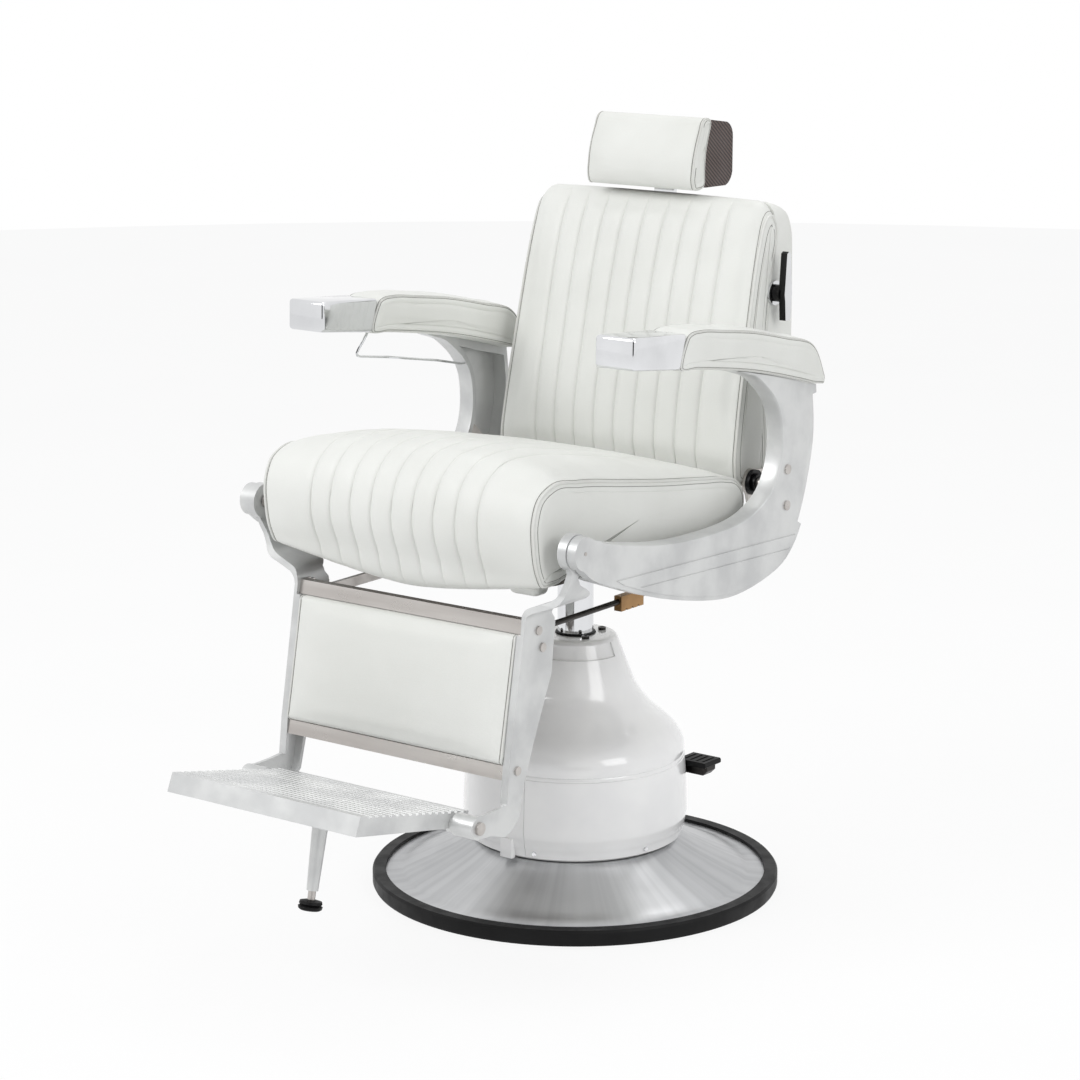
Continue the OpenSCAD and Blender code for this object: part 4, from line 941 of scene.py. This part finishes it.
@dataclass
class Studio:
    """Floor, lamps, background and camera."""

    camera_place: tuple[float, float, float] = (3.0992, -4.1892, 1.7523)
    camera_turn: tuple[float, float, float] = (77.36, 0.0, 37.14)
    lens: float = 108.23
    sensor: float = 36.0
    sky: tuple[float, float, float, float] = (0.98, 0.985, 1.0, 1.0)
    sky_strength: float = 0.62
    backdrop: tuple[float, float, float, float] = (1.0, 1.0, 1.0, 1.0)
    glow_share: float = 0.88  # how much of the floor is plain white to the eye

    def floor(self) -> None:
        """A plain pale floor that keeps the chair's shadow and meets the white background."""
        clear_selection()
        bpy.ops.mesh.primitive_circle_add(vertices=96, radius=9.0, fill_type="NGON")
        piece = bpy.context.object
        piece.name = "floor"
        graph = Graph("pale_floor")
        tone = graph.mix(graph.noise(2.0).between(0.2, 0.8), "F0F0F0", "F6F6F6")
        matt = graph.node("BsdfDiffuse", {}, {"Color": tone})
        path = graph.node("LightPath", {}, {})
        seen = Value(graph, path.outputs["Is Camera Ray"])
        for word in ("Is Glossy Ray", "Is Transmission Ray"):
            seen = seen.math("MAXIMUM", Value(graph, path.outputs[word]))
        glow = graph.node("Emission", {}, {"Color": linear("FFFFFF"), "Strength": 1.0})
        both = graph.node("MixShader", {}, {
            0: seen * self.glow_share, 1: matt.outputs[0], 2: glow.outputs[0]})
        graph.links.new(both.outputs[0], graph.output.inputs[0])
        piece.data.materials.append(graph.material)

    def dark_card(self) -> None:
        """A dark card beside the camera that only reflections show.

        It gives the rounded corners of polished metal their dark lines.
        """
        clear_selection()
        bpy.ops.mesh.primitive_plane_add(size=1)
        piece = bpy.context.object
        piece.name = "dark_card"
        piece.scale = (3.2, 1.6, 1.0)
        piece.location = (3.3, -4.5, 1.1)
        piece.rotation_euler = (math.radians(90), 0.0, math.radians(37))
        graph = Graph("dark_cloth")
        glow = graph.node("Emission", {}, {"Color": linear("1C1C1E"), "Strength": 1.0})
        graph.links.new(glow.outputs[0], graph.output.inputs[0])
        piece.data.materials.append(graph.material)
        piece.visible_camera = piece.visible_diffuse = piece.visible_shadow = False

    def lamp(self, name: str, place: tuple[float, float, float], aim: tuple[float, float, float],
             size: float, power: float) -> None:
        """Hangs one soft square lamp.

        Args:
            name: the lamp's name.
            place: where it hangs, in metres.
            aim: the point that it shines at.
            size: its side, in metres.
            power: its power, in watts.
        """
        light = bpy.data.lights.new(name, "AREA")
        light.shape, light.size, light.energy = "SQUARE", size, power
        holder = bpy.data.objects.new(name, light)
        holder.location = place
        holder.rotation_euler = (Vector(aim) - Vector(place)).to_track_quat("-Z", "Y").to_euler()
        bpy.context.scene.collection.objects.link(holder)

    def world(self) -> None:
        """Soft even light, with white behind the chair and in its reflections."""
        world = bpy.data.worlds.new("studio")
        world.use_nodes = True
        tree = world.node_tree
        tree.nodes.clear()
        path = tree.nodes.new("ShaderNodeLightPath")
        seen = None
        for word in ("Is Camera Ray", "Is Glossy Ray", "Is Transmission Ray"):
            if seen is None:
                seen = path.outputs[word]
                continue
            both = tree.nodes.new("ShaderNodeMath")
            both.operation = "MAXIMUM"
            tree.links.new(seen, both.inputs[0])
            tree.links.new(path.outputs[word], both.inputs[1])
            seen = both.outputs[0]
        mix, out = tree.nodes.new("ShaderNodeMixShader"), tree.nodes.new("ShaderNodeOutputWorld")
        tree.links.new(seen, mix.inputs[0])
        for socket, colour, strength in ((1, self.sky, self.sky_strength), (2, self.backdrop, 1.0)):
            light = tree.nodes.new("ShaderNodeBackground")
            light.inputs[0].default_value, light.inputs[1].default_value = colour, strength
            tree.links.new(light.outputs[0], mix.inputs[socket])
        tree.links.new(mix.outputs[0], out.inputs[0])
        bpy.context.scene.world = world

    def build(self) -> None:
        """Sets up the studio."""
        self.floor()
        self.dark_card()
        self.world()
        self.lamp("key", (-1.6, -3.4, 3.4), (0, 0, 0.7), 2.2, 85)
        self.lamp("side", (3.6, -0.6, 2.2), (0, 0, 0.6), 1.8, 34)
        self.lamp("top", (0.2, 1.2, 3.8), (0, 0, 0.8), 2.0, 25)
        data = bpy.data.cameras.new("camera")
        data.lens, data.sensor_width = self.lens, self.sensor
        camera = bpy.data.objects.new("camera", data)
        camera.location = self.camera_place
        camera.rotation_euler = Euler([math.radians(a) for a in self.camera_turn])
        bpy.context.scene.collection.objects.link(camera)
        bpy.context.scene.camera = camera
        bpy.context.scene.view_settings.view_transform = "Standard"


def main() -> None:
    """Builds the chair's looks in order."""
    logging.basicConfig(level=logging.INFO, format="%(message)s")
    Studio().build()
    shop = Workshop()
    shop.dress_nodes()
    Upholstery().build(shop)
    Trim().build(shop)


if __name__ == "__main__":
    main()
